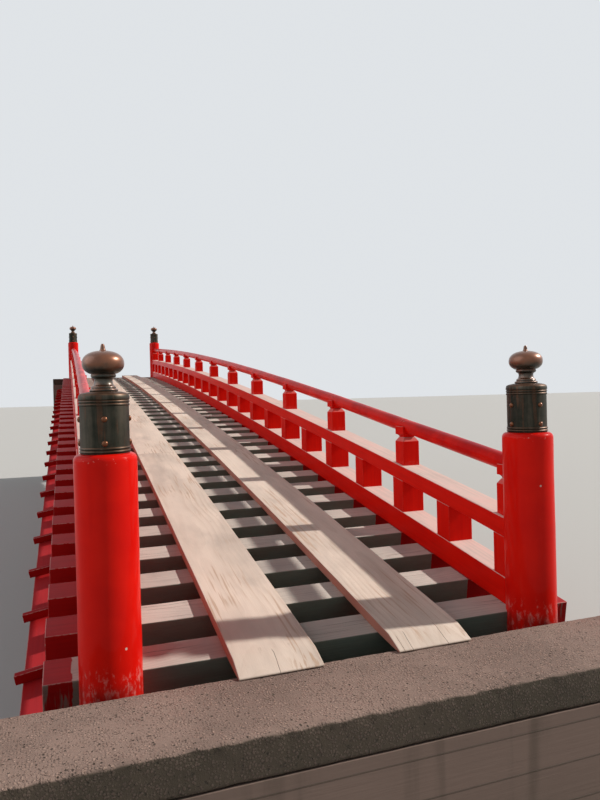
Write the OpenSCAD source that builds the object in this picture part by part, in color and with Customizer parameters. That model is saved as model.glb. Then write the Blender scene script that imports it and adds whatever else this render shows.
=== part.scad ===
// Arched timber footbridge with an open deck of spaced cross timbers, two long walking planks,
// low railings on blocks and saddles, and four round posts with bronze onion finials.
// It climbs from the near end (-Y) to the far end (+Y). Millimetres, +Z up, floor at z = 0,
// origin under the middle of the bridge, x = 0 on its centre line.

/* [Span] */
// Distance between the centres of the near and far posts
span = 14600; // [9600:100:18000]
// Height of the far end above the near end
climb = 1705; // [600:5:2200]
// Bow of the deck above the straight line between its ends
camber = 147; // [60:1:400]
// Height of the near kerb above the floor
kerb_level = 800; // [700:10:1600]

/* [Deck] */
// Distance between the left and right post centres
rail_spacing = 2000; // [1600:10:2600]
// Number of cross timbers
timber_count = 39; // [24:1:48]
// Width of a cross timber along the bridge
timber_w = 184; // [120:1:200]
// Depth of a cross timber
timber_h = 182; // [120:1:240]
// How far a cross timber reaches past the post line
timber_reach = 256; // [200:1:340]
// Front face of the first timber behind the post centre
timber_start = 36; // [20:1:60]
// Height of the timber tops above the kerb at the posts
deck_rise = 12; // [0:1:40]
// Width of a walking plank
plank_w = 360; // [240:5:440]
// Thickness of a walking plank
plank_t = 48; // [30:1:70]
// Centre of a walking plank from the centre line
plank_x = 352; // [300:1:420]
// Number of lengths that each plank is laid in
plank_lengths = 4; // [2:1:6]
// How far the planks reach onto the kerbs
plank_toe = 50; // [10:1:100]
// Length of the bevel that brings a plank's end down to the kerb
plank_bevel = 100; // [60:5:150]
// Thickness left at the tip of that bevel
plank_tip = 7; // [3:1:15]

/* [Railing] */
// Number of upper bays on each side
bays = 12; // [8:4:16]
// Width of the bottom rail
bottom_rail_w = 160; // [120:1:200]
// Height of the bottom rail
bottom_rail_h = 138; // [90:1:180]
// Width of a lower post across the bridge
lower_post_w = 156; // [100:1:158]
// Depth of a lower post along the bridge
lower_post_d = 132; // [80:1:180]
// Height of a lower post
lower_post_h = 204; // [140:1:320]
// Height of the middle rail
middle_rail_h = 98; // [60:1:140]
// Width of a block across the bridge
block_w = 118; // [100:1:150]
// Depth of a block along the bridge
block_d = 110; // [90:1:150]
// Height of a block at its centre
block_h = 178; // [120:1:240]
// Height of the bevel round a block's top
block_bevel = 28; // [8:1:40]
// How far a block and its saddle are cut in where they meet
neck_inset = 19; // [12:1:26]
// Diameter of the top rail
top_rail_d = 90; // [70:1:96]
// Height of the top rail's underside above the block tops
saddle_rise = 27; // [27:1:70]
// Extra height of the top rail at the posts, lost over the end bays
end_lift = 12; // [0:1:40]

/* [Posts] */
// Diameter of a round post
post_d = 241; // [220:1:300]
// Height of the red part of a post above the timber tops
post_h = 891; // [840:1:1200]
// Radius of a post's rounded shoulder
post_shoulder = 26; // [12:1:30]
// Diameter of the bronze sleeve
sleeve_d = 187; // [150:1:188]
// Height of the bronze sleeve
sleeve_h = 239; // [180:1:320]
// Wall of the bronze sleeve
sleeve_wall = 4; // [3:0.5:8]
// Height of the finial from the sleeve to its tip
finial_h = 187; // [165:1:240]
// Diameter of the finial's bulb
bulb_d = 160; // [130:1:180]
// Height of the flattened bulb
bulb_h = 89; // [70:1:105]
// Height of the small tip on the bulb
nub_h = 27; // [15:1:33]

/* [Girders] */
// Width of a girder
girder_w = 180; // [120:1:200]
// Depth of a girder
girder_h = 340; // [240:5:460]
// Inner girders from the centre line
inner_girder_x = 352; // [280:1:420]
// Number of rows of ties between the girders
tie_rows = 5; // [3:1:9]
// Side of a square tie
tie_size = 120; // [80:5:160]

/* [Skirt] */
// How far the skirt boards reach past the timber ends
skirt_reach = 106; // [40:1:140]
// Thickness of the skirt boards
skirt_t = 25; // [15:1:40]
// Fall of the skirt boards, in degrees
skirt_fall = 10.5; // [6:0.5:25]
// How far the skirt boards' inner edges lie below the timbers
skirt_drop = 56; // [20:1:90]
// Width of a batten
batten_w = 34; // [20:1:60]
// Height of a batten
batten_h = 45; // [15:1:60]
// How far a batten reaches past the boards
batten_reach = 30; // [10:1:80]

/* [Abutments] */
// Length of a kerb across the bridge
kerb_l = 3000; // [2900:10:3600]
// Width of a kerb along the bridge
kerb_w = 476; // [300:1:600]
// Thickness of a kerb
kerb_t = 150; // [100:5:200]
// Radius of a kerb's worn top edges
kerb_round = 14; // [5:1:30]
// Length of the seat that carries the girder ends
seat_l = 400; // [300:5:600]
// Width of the abutment under the deck
abutment_w = 2440; // [2400:10:2900]

/* [Hidden] */
// Play between pieces that bear on each other
seat = 0.3;
// Play between a post and what is cut round it
post_play = 1;
// Gap at a butt joint between two lengths
joint = 1.2;
// How far a saddle's sides lie inside its block's
saddle_margin = 1.5;
// Play between the girders' ends and the posts
girder_play = 5;
// Play between the posts and the kerbs
kerb_play = 7;
// Play between the end skirt boards and the kerbs' walls
skirt_play = 8;
// Play between the battens' inner ends and the timbers
batten_play = 3;
// Thickness of the sleeve's solid top, and the play between it and the post's core
sleeve_cap = 30;
core_play = 10;
// Longest straight stretch of a curved piece
chord = 310;
half = span / 2;
line_x = rail_spacing / 2;
post_r = post_d / 2;
bay = span / bays;
deck_base = kerb_level + deck_rise;
timber_l = rail_spacing + 2 * timber_reach;
timber_pitch = (span - 2 * timber_start - timber_w) / (timber_count - 1);
middle_rail_z = bottom_rail_h + lower_post_h;
block_z = middle_rail_z + middle_rail_h;
saddle_z = block_z + block_h;
top_rail_z = saddle_z + saddle_rise + top_rail_d / 2;
girder_end = half - post_r - girder_play;
seat_end = girder_end - seat_l;
near_seat = under_z(-seat_end) - girder_h;
far_seat = under_z(seat_end) - girder_h;
kerb_back = half + post_r + kerb_play;
skirt_x0 = line_x + girder_w / 2 + skirt_t * sin(skirt_fall) + seat;
skirt_x1 = line_x + timber_reach + skirt_reach;
skirt_w = (skirt_x1 - skirt_x0) / cos(skirt_fall);
batten_start = max(0, batten_h + batten_play - skirt_drop) / sin(skirt_fall) / cos(skirt_fall);
end_block = post_r + block_d / 2;
end_lower = post_r + lower_post_d / 2;
red = "#c8140c";
shade_red = "#a01018";
old_wood = "#9a8c82";
pale_wood = "#d8c4b2";
bronze = "#5c5040";
concrete = "#a89c92";

// Height of the timber tops at y: the climb as a straight line plus the camber as a parabola
function part_way(y) = (y + half) / span;
function deck_z(y) = deck_base + climb * part_way(y) + 4 * camber * part_way(y) * (1 - part_way(y));
function deck_angle(y) = atan((climb + 4 * camber * (1 - 2 * part_way(y))) / span);

// Height of what bears on the undersides of the timbers at y
function under_z(y) = deck_z(y) - timber_h / cos(deck_angle(y)) - seat;
function timber_y(i) = -half + timber_start + timber_w / 2 + i * timber_pitch;

// Places along the railing: blocks at every bay, lower posts at every half bay,
// the first and last of them in the middle of the clear space beside the end half post
function block_y(i) = -half + i * bay;
function lower_y(i) =
  i == 1 ? (-half + end_lower - half + bay - lower_post_d / 2) / 2 :
  i == 2 * bays - 1 ? (half - end_lower + half - bay + lower_post_d / 2) / 2 :
  -half + i * bay / 2;

// Outline beside the bridge, h0 to h1 above the timber tops, in (y, z)
function band(y0, y1, h0, h1, n) = concat(
  [for (i = [0:n]) let (y = y0 + (y1 - y0) * i / n) [y, deck_z(y) + h1]],
  [for (i = [n:-1:0]) let (y = y0 + (y1 - y0) * i / n) [y, deck_z(y) + h0]]
);

// Lays an outline drawn in (y, z) across the bridge from x0 to x1
module across(x0, x1) {
  translate([x0, 0, 0])
    rotate([90, 0, 90])
      linear_extrude(x1 - x0)
        children();
}

// Curved piece that follows the deck from y0 to y1
module curved_bar(x, w, y0, y1, h0, h1) {
  across(x - w / 2, x + w / 2)
    polygon(band(y0, y1, h0, h1, ceil((y1 - y0) / chord)));
}

// Space taken by the two posts on one side, with their play
module post_space(x) {
  for (y = [-half, half])
    translate([x, y, 0])
      cylinder(h = kerb_level + climb + post_h + 400, r = post_r + post_play, $fn = 96);
}

module cross_timber(i) {
  translate([0, timber_y(i), deck_z(timber_y(i))])
    rotate([deck_angle(timber_y(i)), 0, 0])
      translate([-timber_l / 2, -timber_w / 2, -timber_h])
        cube([timber_l, timber_w, timber_h]);
}

module timber_row(first, last) {
  color(old_wood)
    for (i = [first:last])
      cross_timber(i);
}

module end_timber(i) {
  color(old_wood)
    difference() {
      cross_timber(i);
      post_space(-line_x);
      post_space(line_x);
    }
}

// Walking plank in butted lengths, its two ends brought down to the kerbs and bevelled
module plank(x) {
  y_end = kerb_back + plank_toe;
  y_bevel = y_end - plank_bevel;
  reach = 2 * (half - timber_start) / plank_lengths;
  near_toe = [
    [-kerb_back, kerb_level + seat],
    [-y_end, kerb_level + seat],
    [-y_end, kerb_level + seat + plank_tip],
    [-y_bevel, deck_z(-y_bevel) + plank_t]
  ];
  far_toe = [
    [y_bevel, deck_z(y_bevel) + plank_t],
    [y_end, kerb_level + climb + seat + plank_tip],
    [y_end, kerb_level + climb + seat],
    [kerb_back, kerb_level + climb + seat]
  ];
  color(pale_wood)
    across(x - plank_w / 2, x + plank_w / 2)
      for (i = [0:plank_lengths - 1]) {
        y0 = -half + timber_start + i * reach + (i == 0 ? 0 : joint / 2);
        y1 = -half + timber_start + (i + 1) * reach - (i == plank_lengths - 1 ? 0 : joint / 2);
        outline = band(y0, y1, seat, plank_t, 12);
        polygon(concat(
          i == 0 ? near_toe : [],
          [for (k = [0:12]) outline[k]],
          i == plank_lengths - 1 ? far_toe : [],
          [for (k = [13:25]) outline[k]]
        ));
      }
}

// Railing pieces, for one side of the bridge at x
module rail_lengths(x, w, h0, h1, count) {
  reach = span / count;
  color(red)
    difference() {
      for (i = [0:count - 1])
        curved_bar(x, w, -half + i * reach + joint / 2, -half + (i + 1) * reach - joint / 2, h0, h1);
      post_space(x);
    }
}

module bottom_rail(x) {
  rail_lengths(x, bottom_rail_w, seat, bottom_rail_h, bays / 4);
}

module middle_rail(x) {
  rail_lengths(x, lower_post_w, middle_rail_z + seat, middle_rail_z + middle_rail_h, bays / 4);
}

module lower_post(x, y0, y1) {
  curved_bar(x, lower_post_w, y0, y1, bottom_rail_h + seat, middle_rail_z);
}

module lower_posts(x) {
  d = lower_post_d / 2;
  color(red) {
    for (i = [1:2 * bays - 1])
      lower_post(x, lower_y(i) - d, lower_y(i) + d);
    difference() {
      union() {
        lower_post(x, -half, -half + end_lower);
        lower_post(x, half - end_lower, half);
      }
      post_space(x);
    }
  }
}

// What the railing's upper part gains in height at y, near the posts
function rail_lift(y) = end_lift * max(0, 1 - (half - abs(y)) / bay);

// Block with a sloping foot and a level top, bevelled inwards all round below the saddle
module block(x, y0, y1, y_mid) {
  top = deck_z(y_mid) + saddle_z + rail_lift(y_mid);
  w = block_w / 2;
  intersection() {
    across(x - w, x + w)
      polygon([
        [y0, deck_z(y0) + block_z + seat],
        [y1, deck_z(y1) + block_z + seat],
        [y1, top - block_bevel],
        [y1 - neck_inset, top],
        [y0 + neck_inset, top],
        [y0, top - block_bevel]
      ]);
    translate([x, y1 + 1, 0])
      rotate([90, 0, 0])
        linear_extrude(y1 - y0 + 2)
          polygon([
            [-w, top - 2 * block_h],
            [w, top - 2 * block_h],
            [w, top - block_bevel],
            [w - neck_inset, top],
            [neck_inset - w, top],
            [-w, top - block_bevel]
          ]);
  }
}

module blocks(x) {
  d = block_d / 2;
  color(red) {
    for (i = [1:bays - 1])
      block(x, block_y(i) - d, block_y(i) + d, block_y(i));
    difference() {
      union() {
        block(x, -half + end_block - block_d, -half + end_block, -half + post_r);
        block(x, half - end_block, half - end_block + block_d, half - post_r);
      }
      post_space(x);
    }
  }
}

// Top rail: one straight round length in each bay, butted over the saddles
function bay_at(y) = max(0, min(bays - 1, floor((y + half) / bay)));
function joint_z(i) = deck_z(block_y(i)) + top_rail_z + rail_lift(block_y(i));
function rail_fall(i) = (joint_z(i + 1) - joint_z(i)) / bay;
function rail_axis_z(y) = let (i = bay_at(y)) joint_z(i) + rail_fall(i) * (y - block_y(i));

module rail_length(x, i) {
  y_mid = block_y(i) + bay / 2;
  tilt = atan(rail_fall(i));
  translate([x, y_mid, rail_axis_z(y_mid)])
    rotate([tilt - 90, 0, 0])
      cylinder(h = bay / cos(tilt) + top_rail_d, d = top_rail_d, center = true, $fn = 64);
}

module top_rail(x) {
  color(red)
    for (i = [0:bays - 1])
      difference() {
        intersection() {
          rail_length(x, i);
          translate([x - top_rail_d, block_y(i) + joint / 2, 0])
            cube([2 * top_rail_d, bay - joint, 2 * (kerb_level + climb)]);
        }
        if (i == 0 || i == bays - 1)
          post_space(x);
      }
}

// Saddle: a quarter-round hollow under its four edges and a round bed for the top rail
module saddle(x, y) {
  base = deck_z(y) + saddle_z + rail_lift(y) + seat;
  w = block_w - 2 * saddle_margin;
  d = block_d - 2 * saddle_margin;
  h = saddle_rise + top_rail_d / 2;
  bed_fall = (rail_fall(bay_at(y - 1)) + rail_fall(bay_at(y + 1))) / 2;
  difference() {
    translate([x - w / 2, y - d / 2, base])
      cube([w, d, h]);
    for (side = [-1, 1]) {
      translate([x + side * w / 2, y, base])
        rotate([90, 0, 0])
          cylinder(h = 2 * d, r = neck_inset, center = true, $fn = 64);
      translate([x, y + side * d / 2, base])
        rotate([0, 90, 0])
          cylinder(h = 2 * w, r = neck_inset, center = true, $fn = 64);
    }
    translate([x, y, rail_axis_z(y)])
      rotate([atan(bed_fall) - 90, 0, 0])
        cylinder(h = 3 * d, r = top_rail_d / 2 + seat, center = true, $fn = 64);
  }
}

module saddles(x) {
  color(red) {
    for (i = [1:bays - 1])
      saddle(x, block_y(i));
    difference() {
      union() {
        saddle(x, -half + post_r);
        saddle(x, half - post_r);
      }
      post_space(x);
    }
  }
}

// Round post from its seat to the rounded shoulder, with the core that carries the sleeve
module main_post(x, y, foot) {
  top = deck_z(y) + post_h;
  core_r = sleeve_d / 2 - sleeve_wall - seat;
  color(red)
    translate([x, y, foot])
      rotate_extrude($fn = 96)
        union() {
          square([post_r, top - foot - post_shoulder]);
          square([post_r - post_shoulder, top - foot]);
          translate([post_r - post_shoulder, top - foot - post_shoulder])
            circle(r = post_shoulder, $fn = 64);
          square([core_r, top - foot + sleeve_h - sleeve_cap - core_play]);
        }
}

// Bronze sleeve: a shell with a sloping top over a tall rounded ring, two rolled bands under
// the ring and two at the foot
module sleeve(x, y) {
  r = sleeve_d / 2;
  h = sleeve_h;
  ring = [[r + 2.5, h - 31], [r + 3.5, h - 25], [r + 2.5, h - 17], [r - 1, h - 10], [r - 8, h - 6]];
  color(bronze)
    translate([x, y, deck_z(y) + post_h + seat])
      rotate_extrude($fn = 96)
        difference() {
          union() {
            polygon(concat([[0, 0], [r, 0], [r, h - 33]], ring, [[r - 34, h], [0, h]]));
            for (z = [8, 20, h - 51, h - 39])
              translate([r - 2, z])
                circle(r = 5.2, $fn = 32);
          }
          translate([-1, -1])
            square([r - sleeve_wall + 1, h - sleeve_cap]);
          translate([-100, -1])
            square([100, h + 2]);
        }
}

// Onion finial: a flared foot, a waist, a ring, the flattened bulb and its small tip
function bulb_side(a) = [
  bulb_d / 2 * pow(cos(a), 0.88),
  finial_h - nub_h - 0.57 * bulb_h + (a < 0 ? -0.54 : 0.57) * bulb_h * pow(abs(sin(a)), 0.88)
];

module finial(x, y) {
  r = bulb_d / 2;
  foot = finial_h - nub_h - bulb_h;
  tip = finial_h - nub_h;
  collars = [[0.66, 0], [0.68, 0.06], [0.66, 0.13], [0.57, 0.15], [0.59, 0.21], [0.56, 0.28]];
  waist = [[0.48, 0.36], [0.44, 0.47], [0.43, 0.58], [0.45, 0.7]];
  ring = [[0.55, 0.76], [0.59, 0.82], [0.6, 0.89], [0.58, 0.96], [0.56, 0.99]];
  nub = [[10, 0.05], [8.2, 0.16], [7, 0.4], [6, 0.7], [4.8, 0.9], [2.4, 1], [0, 1]];
  color(bronze)
    translate([x, y, deck_z(y) + post_h + sleeve_h + 2 * seat])
      rotate_extrude($fn = 96)
        polygon(concat(
          [[0, 0]],
          [for (p = concat(collars, waist, ring)) [r * p[0], foot * p[1]]],
          [for (a = [-50:10:80]) bulb_side(a)],
          [for (p = nub) [p[0], tip + nub_h * p[1]]]
        ));
}

// Girder under the timbers, with level bearings on the two seats
module girder(x) {
  n = ceil(2 * seat_end / chord);
  n_top = ceil(2 * girder_end / chord);
  color(shade_red)
    across(x - girder_w / 2, x + girder_w / 2)
      polygon(concat(
        [for (i = [0:n_top]) let (y = -girder_end + 2 * girder_end * i / n_top) [y, under_z(y)]],
        [[girder_end, far_seat + seat], [seat_end, far_seat + seat]],
        [for (i = [n - 1:-1:1]) let (y = -seat_end + 2 * seat_end * i / n) [y, under_z(y) - girder_h]],
        [[-seat_end, near_seat + seat], [-girder_end, near_seat + seat]]
      ));
}

// Ties that keep the girders apart, in rows along the span
module ties() {
  gaps = [
    [-line_x + girder_w / 2, -inner_girder_x - girder_w / 2],
    [-inner_girder_x + girder_w / 2, inner_girder_x - girder_w / 2],
    [inner_girder_x + girder_w / 2, line_x - girder_w / 2]
  ];
  color(shade_red)
    for (i = [1:tie_rows])
      let (y = -seat_end + 2 * seat_end * i / (tie_rows + 1))
        for (gap = gaps)
          translate([gap[0] + seat, y - tie_size / 2, under_z(y) - girder_h / 2 - tie_size / 2])
            cube([gap[1] - gap[0] - 2 * seat, tie_size, tie_size]);
}

// Skirt: short boards that fall outwards from the outer girders, below the timber ends, and
// battens over their joints. A board's low edge leans up the climb past its top edge, towards
// the far wall.
function skirt_lean(y) =
  max(0, (skirt_w * sin(skirt_fall) + skirt_t * cos(skirt_fall)) * sin(deck_angle(y)));

module skirt_frame(side, y) {
  translate([side * skirt_x0, y, under_z(y) - skirt_drop])
    rotate([deck_angle(y), 0, 0])
      rotate([0, side * skirt_fall, 0])
        children();
}

module skirt_board(side, y0, y1) {
  run = (y1 - y0) / cos(deck_angle((y0 + y1) / 2));
  skirt_frame(side, (y0 + y1) / 2)
    translate([side > 0 ? 0 : -skirt_w, -run / 2, -skirt_t])
      cube([skirt_w, run, skirt_t]);
}

module skirt_boards(side) {
  step = bay / 2;
  color(shade_red) {
    for (i = [1:2 * bays - 2])
      skirt_board(side, -half + i * step + joint, -half + (i + 1) * step - joint);
    difference() {
      union() {
        skirt_board(side, -kerb_back + skirt_play, -half + step - joint);
        skirt_board(side, half - step + joint, kerb_back - skirt_play - skirt_lean(half));
      }
      post_space(side * line_x);
    }
  }
}

module skirt_battens(side) {
  to = skirt_w + batten_reach;
  color(red)
    for (i = [1:2 * bays - 1])
      skirt_frame(side, -half + i * bay / 2)
        translate([side > 0 ? batten_start : -to, -batten_w / 2, 2 * seat])
          cube([to - batten_start, batten_w, batten_h]);
}

// Kerb with worn top edges, laid across an end of the bridge
module kerb(side, level) {
  y0 = side > 0 ? kerb_back : -kerb_back - kerb_w;
  color(concrete)
    translate([-kerb_l / 2, 0, level - kerb_t])
      rotate([90, 0, 90])
        linear_extrude(kerb_l)
          union() {
            translate([y0, 0])
              square([kerb_w, kerb_t - kerb_round]);
            translate([y0 + kerb_round, 0])
              square([kerb_w - 2 * kerb_round, kerb_t]);
            for (y = [y0 + kerb_round, y0 + kerb_w - kerb_round])
              translate([y, kerb_t - kerb_round])
                circle(r = kerb_round, $fn = 48);
          }
}

// Abutment: the wall under the kerb and the lower seat for the girders
module abutment(side, kerb_top, seat_top) {
  y_out = side > 0 ? kerb_back : -kerb_back - kerb_w;
  y_in = side > 0 ? seat_end : -kerb_back;
  color(concrete)
    union() {
      translate([-kerb_l / 2, y_out, 0])
        cube([kerb_l, kerb_w, kerb_top - kerb_t - seat]);
      translate([-abutment_w / 2, y_in, 0])
        cube([abutment_w, kerb_back - seat_end, seat_top]);
    }
}

module near_abutment() { abutment(-1, kerb_level, near_seat); }
module near_kerb() { kerb(-1, kerb_level); }
module far_abutment() { abutment(1, kerb_level + climb, far_seat); }
module far_kerb() { kerb(1, kerb_level + climb); }
module left_girder() { girder(-line_x); }
module inner_left_girder() { girder(-inner_girder_x); }
module inner_right_girder() { girder(inner_girder_x); }
module right_girder() { girder(line_x); }
module girder_ties() { ties(); }
module near_end_timber() { end_timber(0); }
module near_deck_timbers() { timber_row(1, floor(timber_count / 3)); }
module middle_deck_timbers() { timber_row(floor(timber_count / 3) + 1, floor(2 * timber_count / 3)); }
module far_deck_timbers() { timber_row(floor(2 * timber_count / 3) + 1, timber_count - 2); }
module far_end_timber() { end_timber(timber_count - 1); }
module left_plank() { plank(-plank_x); }
module right_plank() { plank(plank_x); }
module left_skirt_boards() { skirt_boards(-1); }
module right_skirt_boards() { skirt_boards(1); }
module left_skirt_battens() { skirt_battens(-1); }
module right_skirt_battens() { skirt_battens(1); }
module left_bottom_rail() { bottom_rail(-line_x); }
module right_bottom_rail() { bottom_rail(line_x); }
module left_lower_posts() { lower_posts(-line_x); }
module right_lower_posts() { lower_posts(line_x); }
module left_middle_rail() { middle_rail(-line_x); }
module right_middle_rail() { middle_rail(line_x); }
module left_blocks() { blocks(-line_x); }
module right_blocks() { blocks(line_x); }
module left_saddles() { saddles(-line_x); }
module right_saddles() { saddles(line_x); }
module left_top_rail() { top_rail(-line_x); }
module right_top_rail() { top_rail(line_x); }
module near_left_post() { main_post(-line_x, -half, near_seat + seat); }
module near_right_post() { main_post(line_x, -half, near_seat + seat); }
module far_left_post() { main_post(-line_x, half, far_seat + seat); }
module far_right_post() { main_post(line_x, half, far_seat + seat); }
module near_left_sleeve() { sleeve(-line_x, -half); }
module near_right_sleeve() { sleeve(line_x, -half); }
module far_left_sleeve() { sleeve(-line_x, half); }
module far_right_sleeve() { sleeve(line_x, half); }
module near_left_finial() { finial(-line_x, -half); }
module near_right_finial() { finial(line_x, -half); }
module far_left_finial() { finial(-line_x, half); }
module far_right_finial() { finial(line_x, half); }

near_abutment();
near_kerb();
far_abutment();
far_kerb();
left_girder();
inner_left_girder();
inner_right_girder();
right_girder();
girder_ties();
near_end_timber();
near_deck_timbers();
middle_deck_timbers();
far_deck_timbers();
far_end_timber();
left_plank();
right_plank();
left_skirt_boards();
right_skirt_boards();
left_skirt_battens();
right_skirt_battens();
left_bottom_rail();
right_bottom_rail();
left_lower_posts();
right_lower_posts();
left_middle_rail();
right_middle_rail();
left_blocks();
right_blocks();
left_saddles();
right_saddles();
left_top_rail();
right_top_rail();
near_left_post();
near_right_post();
far_left_post();
far_right_post();
near_left_sleeve();
near_right_sleeve();
far_left_sleeve();
far_right_sleeve();
near_left_finial();
near_right_finial();
far_left_finial();
far_right_finial();
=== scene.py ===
"""Looks of an arched timber footbridge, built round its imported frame.

Each wooden, bronze and concrete piece is a surface worked out on a grid with numpy,
and its material is worked out in nodes from the piece's own attributes.
"""

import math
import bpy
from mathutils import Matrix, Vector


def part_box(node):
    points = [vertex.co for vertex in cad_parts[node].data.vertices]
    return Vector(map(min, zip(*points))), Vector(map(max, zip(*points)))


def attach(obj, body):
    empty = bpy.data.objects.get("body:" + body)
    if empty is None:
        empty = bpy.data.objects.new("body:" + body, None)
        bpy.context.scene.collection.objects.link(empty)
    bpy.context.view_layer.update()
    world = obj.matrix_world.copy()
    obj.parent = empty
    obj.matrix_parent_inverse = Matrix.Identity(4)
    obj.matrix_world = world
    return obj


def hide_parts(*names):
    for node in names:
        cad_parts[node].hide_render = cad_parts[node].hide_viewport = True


bl_info = {
    "name": "Arched timber footbridge",
    "version": (1, 0, 0),
    "blender": (4, 5, 0),
    "location": "3D View > Sidebar > Bridge",
    "description": "Red-lacquered footbridge with an open deck, low railings and onion finials",
    "category": "Object",
}

import bpy
import numpy as np
from bpy.props import FloatProperty, FloatVectorProperty, IntProperty, PointerProperty
from mathutils import Matrix, Vector

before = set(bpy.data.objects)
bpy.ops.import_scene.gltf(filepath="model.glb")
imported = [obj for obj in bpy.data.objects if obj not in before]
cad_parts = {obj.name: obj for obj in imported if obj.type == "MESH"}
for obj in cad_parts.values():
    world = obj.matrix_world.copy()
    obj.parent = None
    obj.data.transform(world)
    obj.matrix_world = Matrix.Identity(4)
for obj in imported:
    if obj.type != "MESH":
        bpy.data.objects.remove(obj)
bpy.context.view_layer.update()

NEAR_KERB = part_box("near_kerb")
FAR_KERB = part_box("far_kerb")
RIGHT_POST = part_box("near_right_post")
LEFT_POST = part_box("near_left_post")
FAR_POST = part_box("far_right_post")

SIDES = (("left", -1), ("right", 1))
ENDS = (("near", -1), ("far", 1))


def middle(box, axis):
    """Half way between a box's two corners along one axis."""
    return (box[0][axis] + box[1][axis]) / 2


# Settings


def length(name, description, value):
    """A length in metres."""
    return FloatProperty(name=name, description=description, default=value, unit="LENGTH")


def how_many(name, description, value):
    """A number of like pieces."""
    return IntProperty(name=name, description=description, default=value, min=3)


def degree(name, description, value):
    """How far a kind of wear has gone: 0 for new, 1 for worn out."""
    return FloatProperty(name=name, description=description, default=value, min=0, max=1)


def colour(name, description, value):
    """A colour as three linear values."""
    return FloatVectorProperty(
        name=name, description=description, default=value, size=3, subtype="COLOR", min=0.0, max=1.0
    )


class BridgeSizes(bpy.types.PropertyGroup):
    """Sizes that the pieces share with the frame."""

    span: length(
        "Span", "Distance between the centres of the near and far posts",
        middle(FAR_POST, 1) - middle(RIGHT_POST, 1),
    )
    climb: length(
        "Climb", "Height of the far kerb above the near kerb", FAR_KERB[1].z - NEAR_KERB[1].z
    )
    kerb_level: length("Kerb level", "Height of the near kerb above the floor", NEAR_KERB[1].z)
    rail_spacing: length(
        "Rail spacing", "Distance between the left and right post centres",
        middle(RIGHT_POST, 0) - middle(LEFT_POST, 0),
    )
    camber: length("Camber", "Bow of the deck above the straight line between its ends", 0.147)
    deck_rise: length("Deck rise", "Height of the timber tops above the kerb at the posts", 0.012)
    timber_count: how_many("Timbers", "Number of cross timbers in the deck", 39)
    bays: how_many("Bays", "Number of railing bays on each side", 12)
    arris: length("Arris", "Radius of the worn edges of the bottom and middle rails", 0.006)


class BridgeColours(bpy.types.PropertyGroup):
    """Colours of the finishes, as linear values."""

    lacquer: colour("Lacquer", "Vermilion lacquer of the posts and rails", (0.76, 0.010, 0.004))
    lacquer_deep: colour("Deep lacquer", "Darker passages of the lacquer", (0.55, 0.003, 0.003))
    bleached: colour("Bleached lacquer", "Bleached tops of the rails, a pinkish grey", (0.80, 0.665, 0.605))
    undercoat: colour("Undercoat", "Pale ground that shows where lacquer has chipped", (0.66, 0.50, 0.44))
    old_red: colour("Old red", "Dark red of the timber ends and skirt battens", (0.42, 0.008, 0.008))
    dusty_red: colour("Dusty red", "Dull crimson of old red paint that faces the sky", (0.44, 0.034, 0.040))
    timber: colour("Timber", "Tops of the cross timbers", (0.65, 0.585, 0.525))
    # painted shade: this front colour is the tops' wood made darker and greenish, to stand for shade and
    # reflected light
    timber_dark: colour("Dark timber", "Damp fronts of the cross timbers", (0.225, 0.285, 0.235))
    plank: colour("Plank", "Pale walking planks", (0.80, 0.675, 0.575))
    # partly painted light: the reddish plank sides are a stain, with red light bounced from the railing
    # painted in
    plank_side: colour("Plank side", "Stained sides of the walking planks", (0.42, 0.16, 0.105))
    grain: colour("Grain", "Late-wood lines in the planks", (0.50, 0.355, 0.26))
    patina: colour("Patina", "Dark patina of the bronze", (0.043, 0.036, 0.027))
    bronze: colour("Bronze", "Warm brown bronze of the finials and rivets", (0.232, 0.070, 0.021))
    concrete: colour("Concrete", "Exposed-aggregate concrete of the kerbs", (0.315, 0.222, 0.184))
    # painted shade: besides the pits and board joints, this colour darkens the kerbs' side faces to stand
    # for shade
    concrete_dark: colour("Dark concrete", "Damp faces and pits of the concrete", (0.047, 0.041, 0.026))


class BridgeWear(bpy.types.PropertyGroup):
    """How far each kind of wear has gone."""

    fade: degree("Fade", "Bleaching of upward faces", 0.96)
    chips: degree("Chips", "Chipped lacquer at edges", 0.30)
    relief: length("Relief", "Height of the grain", 0.0006)


GROUPS = {"bridge_sizes": BridgeSizes, "bridge_colours": BridgeColours, "bridge_wear": BridgeWear}


def looks():
    """The colours and the wear that the finishes read."""
    return bpy.context.scene.bridge_colours, bpy.context.scene.bridge_wear


# Shader maths


def by(operation):
    """A method that adds a Math node of that operation."""
    return lambda value, *others: value.maths(operation, *others)


class Value:
    """A node's output. Python's operators on it add Math nodes."""

    def __init__(self, nodes, socket):
        self.nodes, self.socket = nodes, socket

    def maths(self, operation, *others):
        """A Math node that takes this value first and then the others."""
        return self.nodes.node("Math", {"operation": operation}, dict(enumerate((self, *others))))

    def __rsub__(self, other):
        return self.nodes.node("Math", {"operation": "SUBTRACT"}, {0: other, 1: self})

    __add__ = __radd__ = by("ADD")
    __mul__ = __rmul__ = by("MULTIPLY")
    __sub__ = by("SUBTRACT")
    __truediv__ = by("DIVIDE")
    absolute = by("ABSOLUTE")
    fraction = by("FRACT")
    floor = by("FLOOR")
    root = by("SQRT")
    least = by("MINIMUM")
    most = by("MAXIMUM")

    def step(self, low, high):
        """0 below low, 1 above high, and a smooth rise between them."""
        ends = {"Value": self, "From Min": low, "From Max": high}
        return self.nodes.node("MapRange", {"interpolation_type": "SMOOTHSTEP"}, ends)


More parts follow.
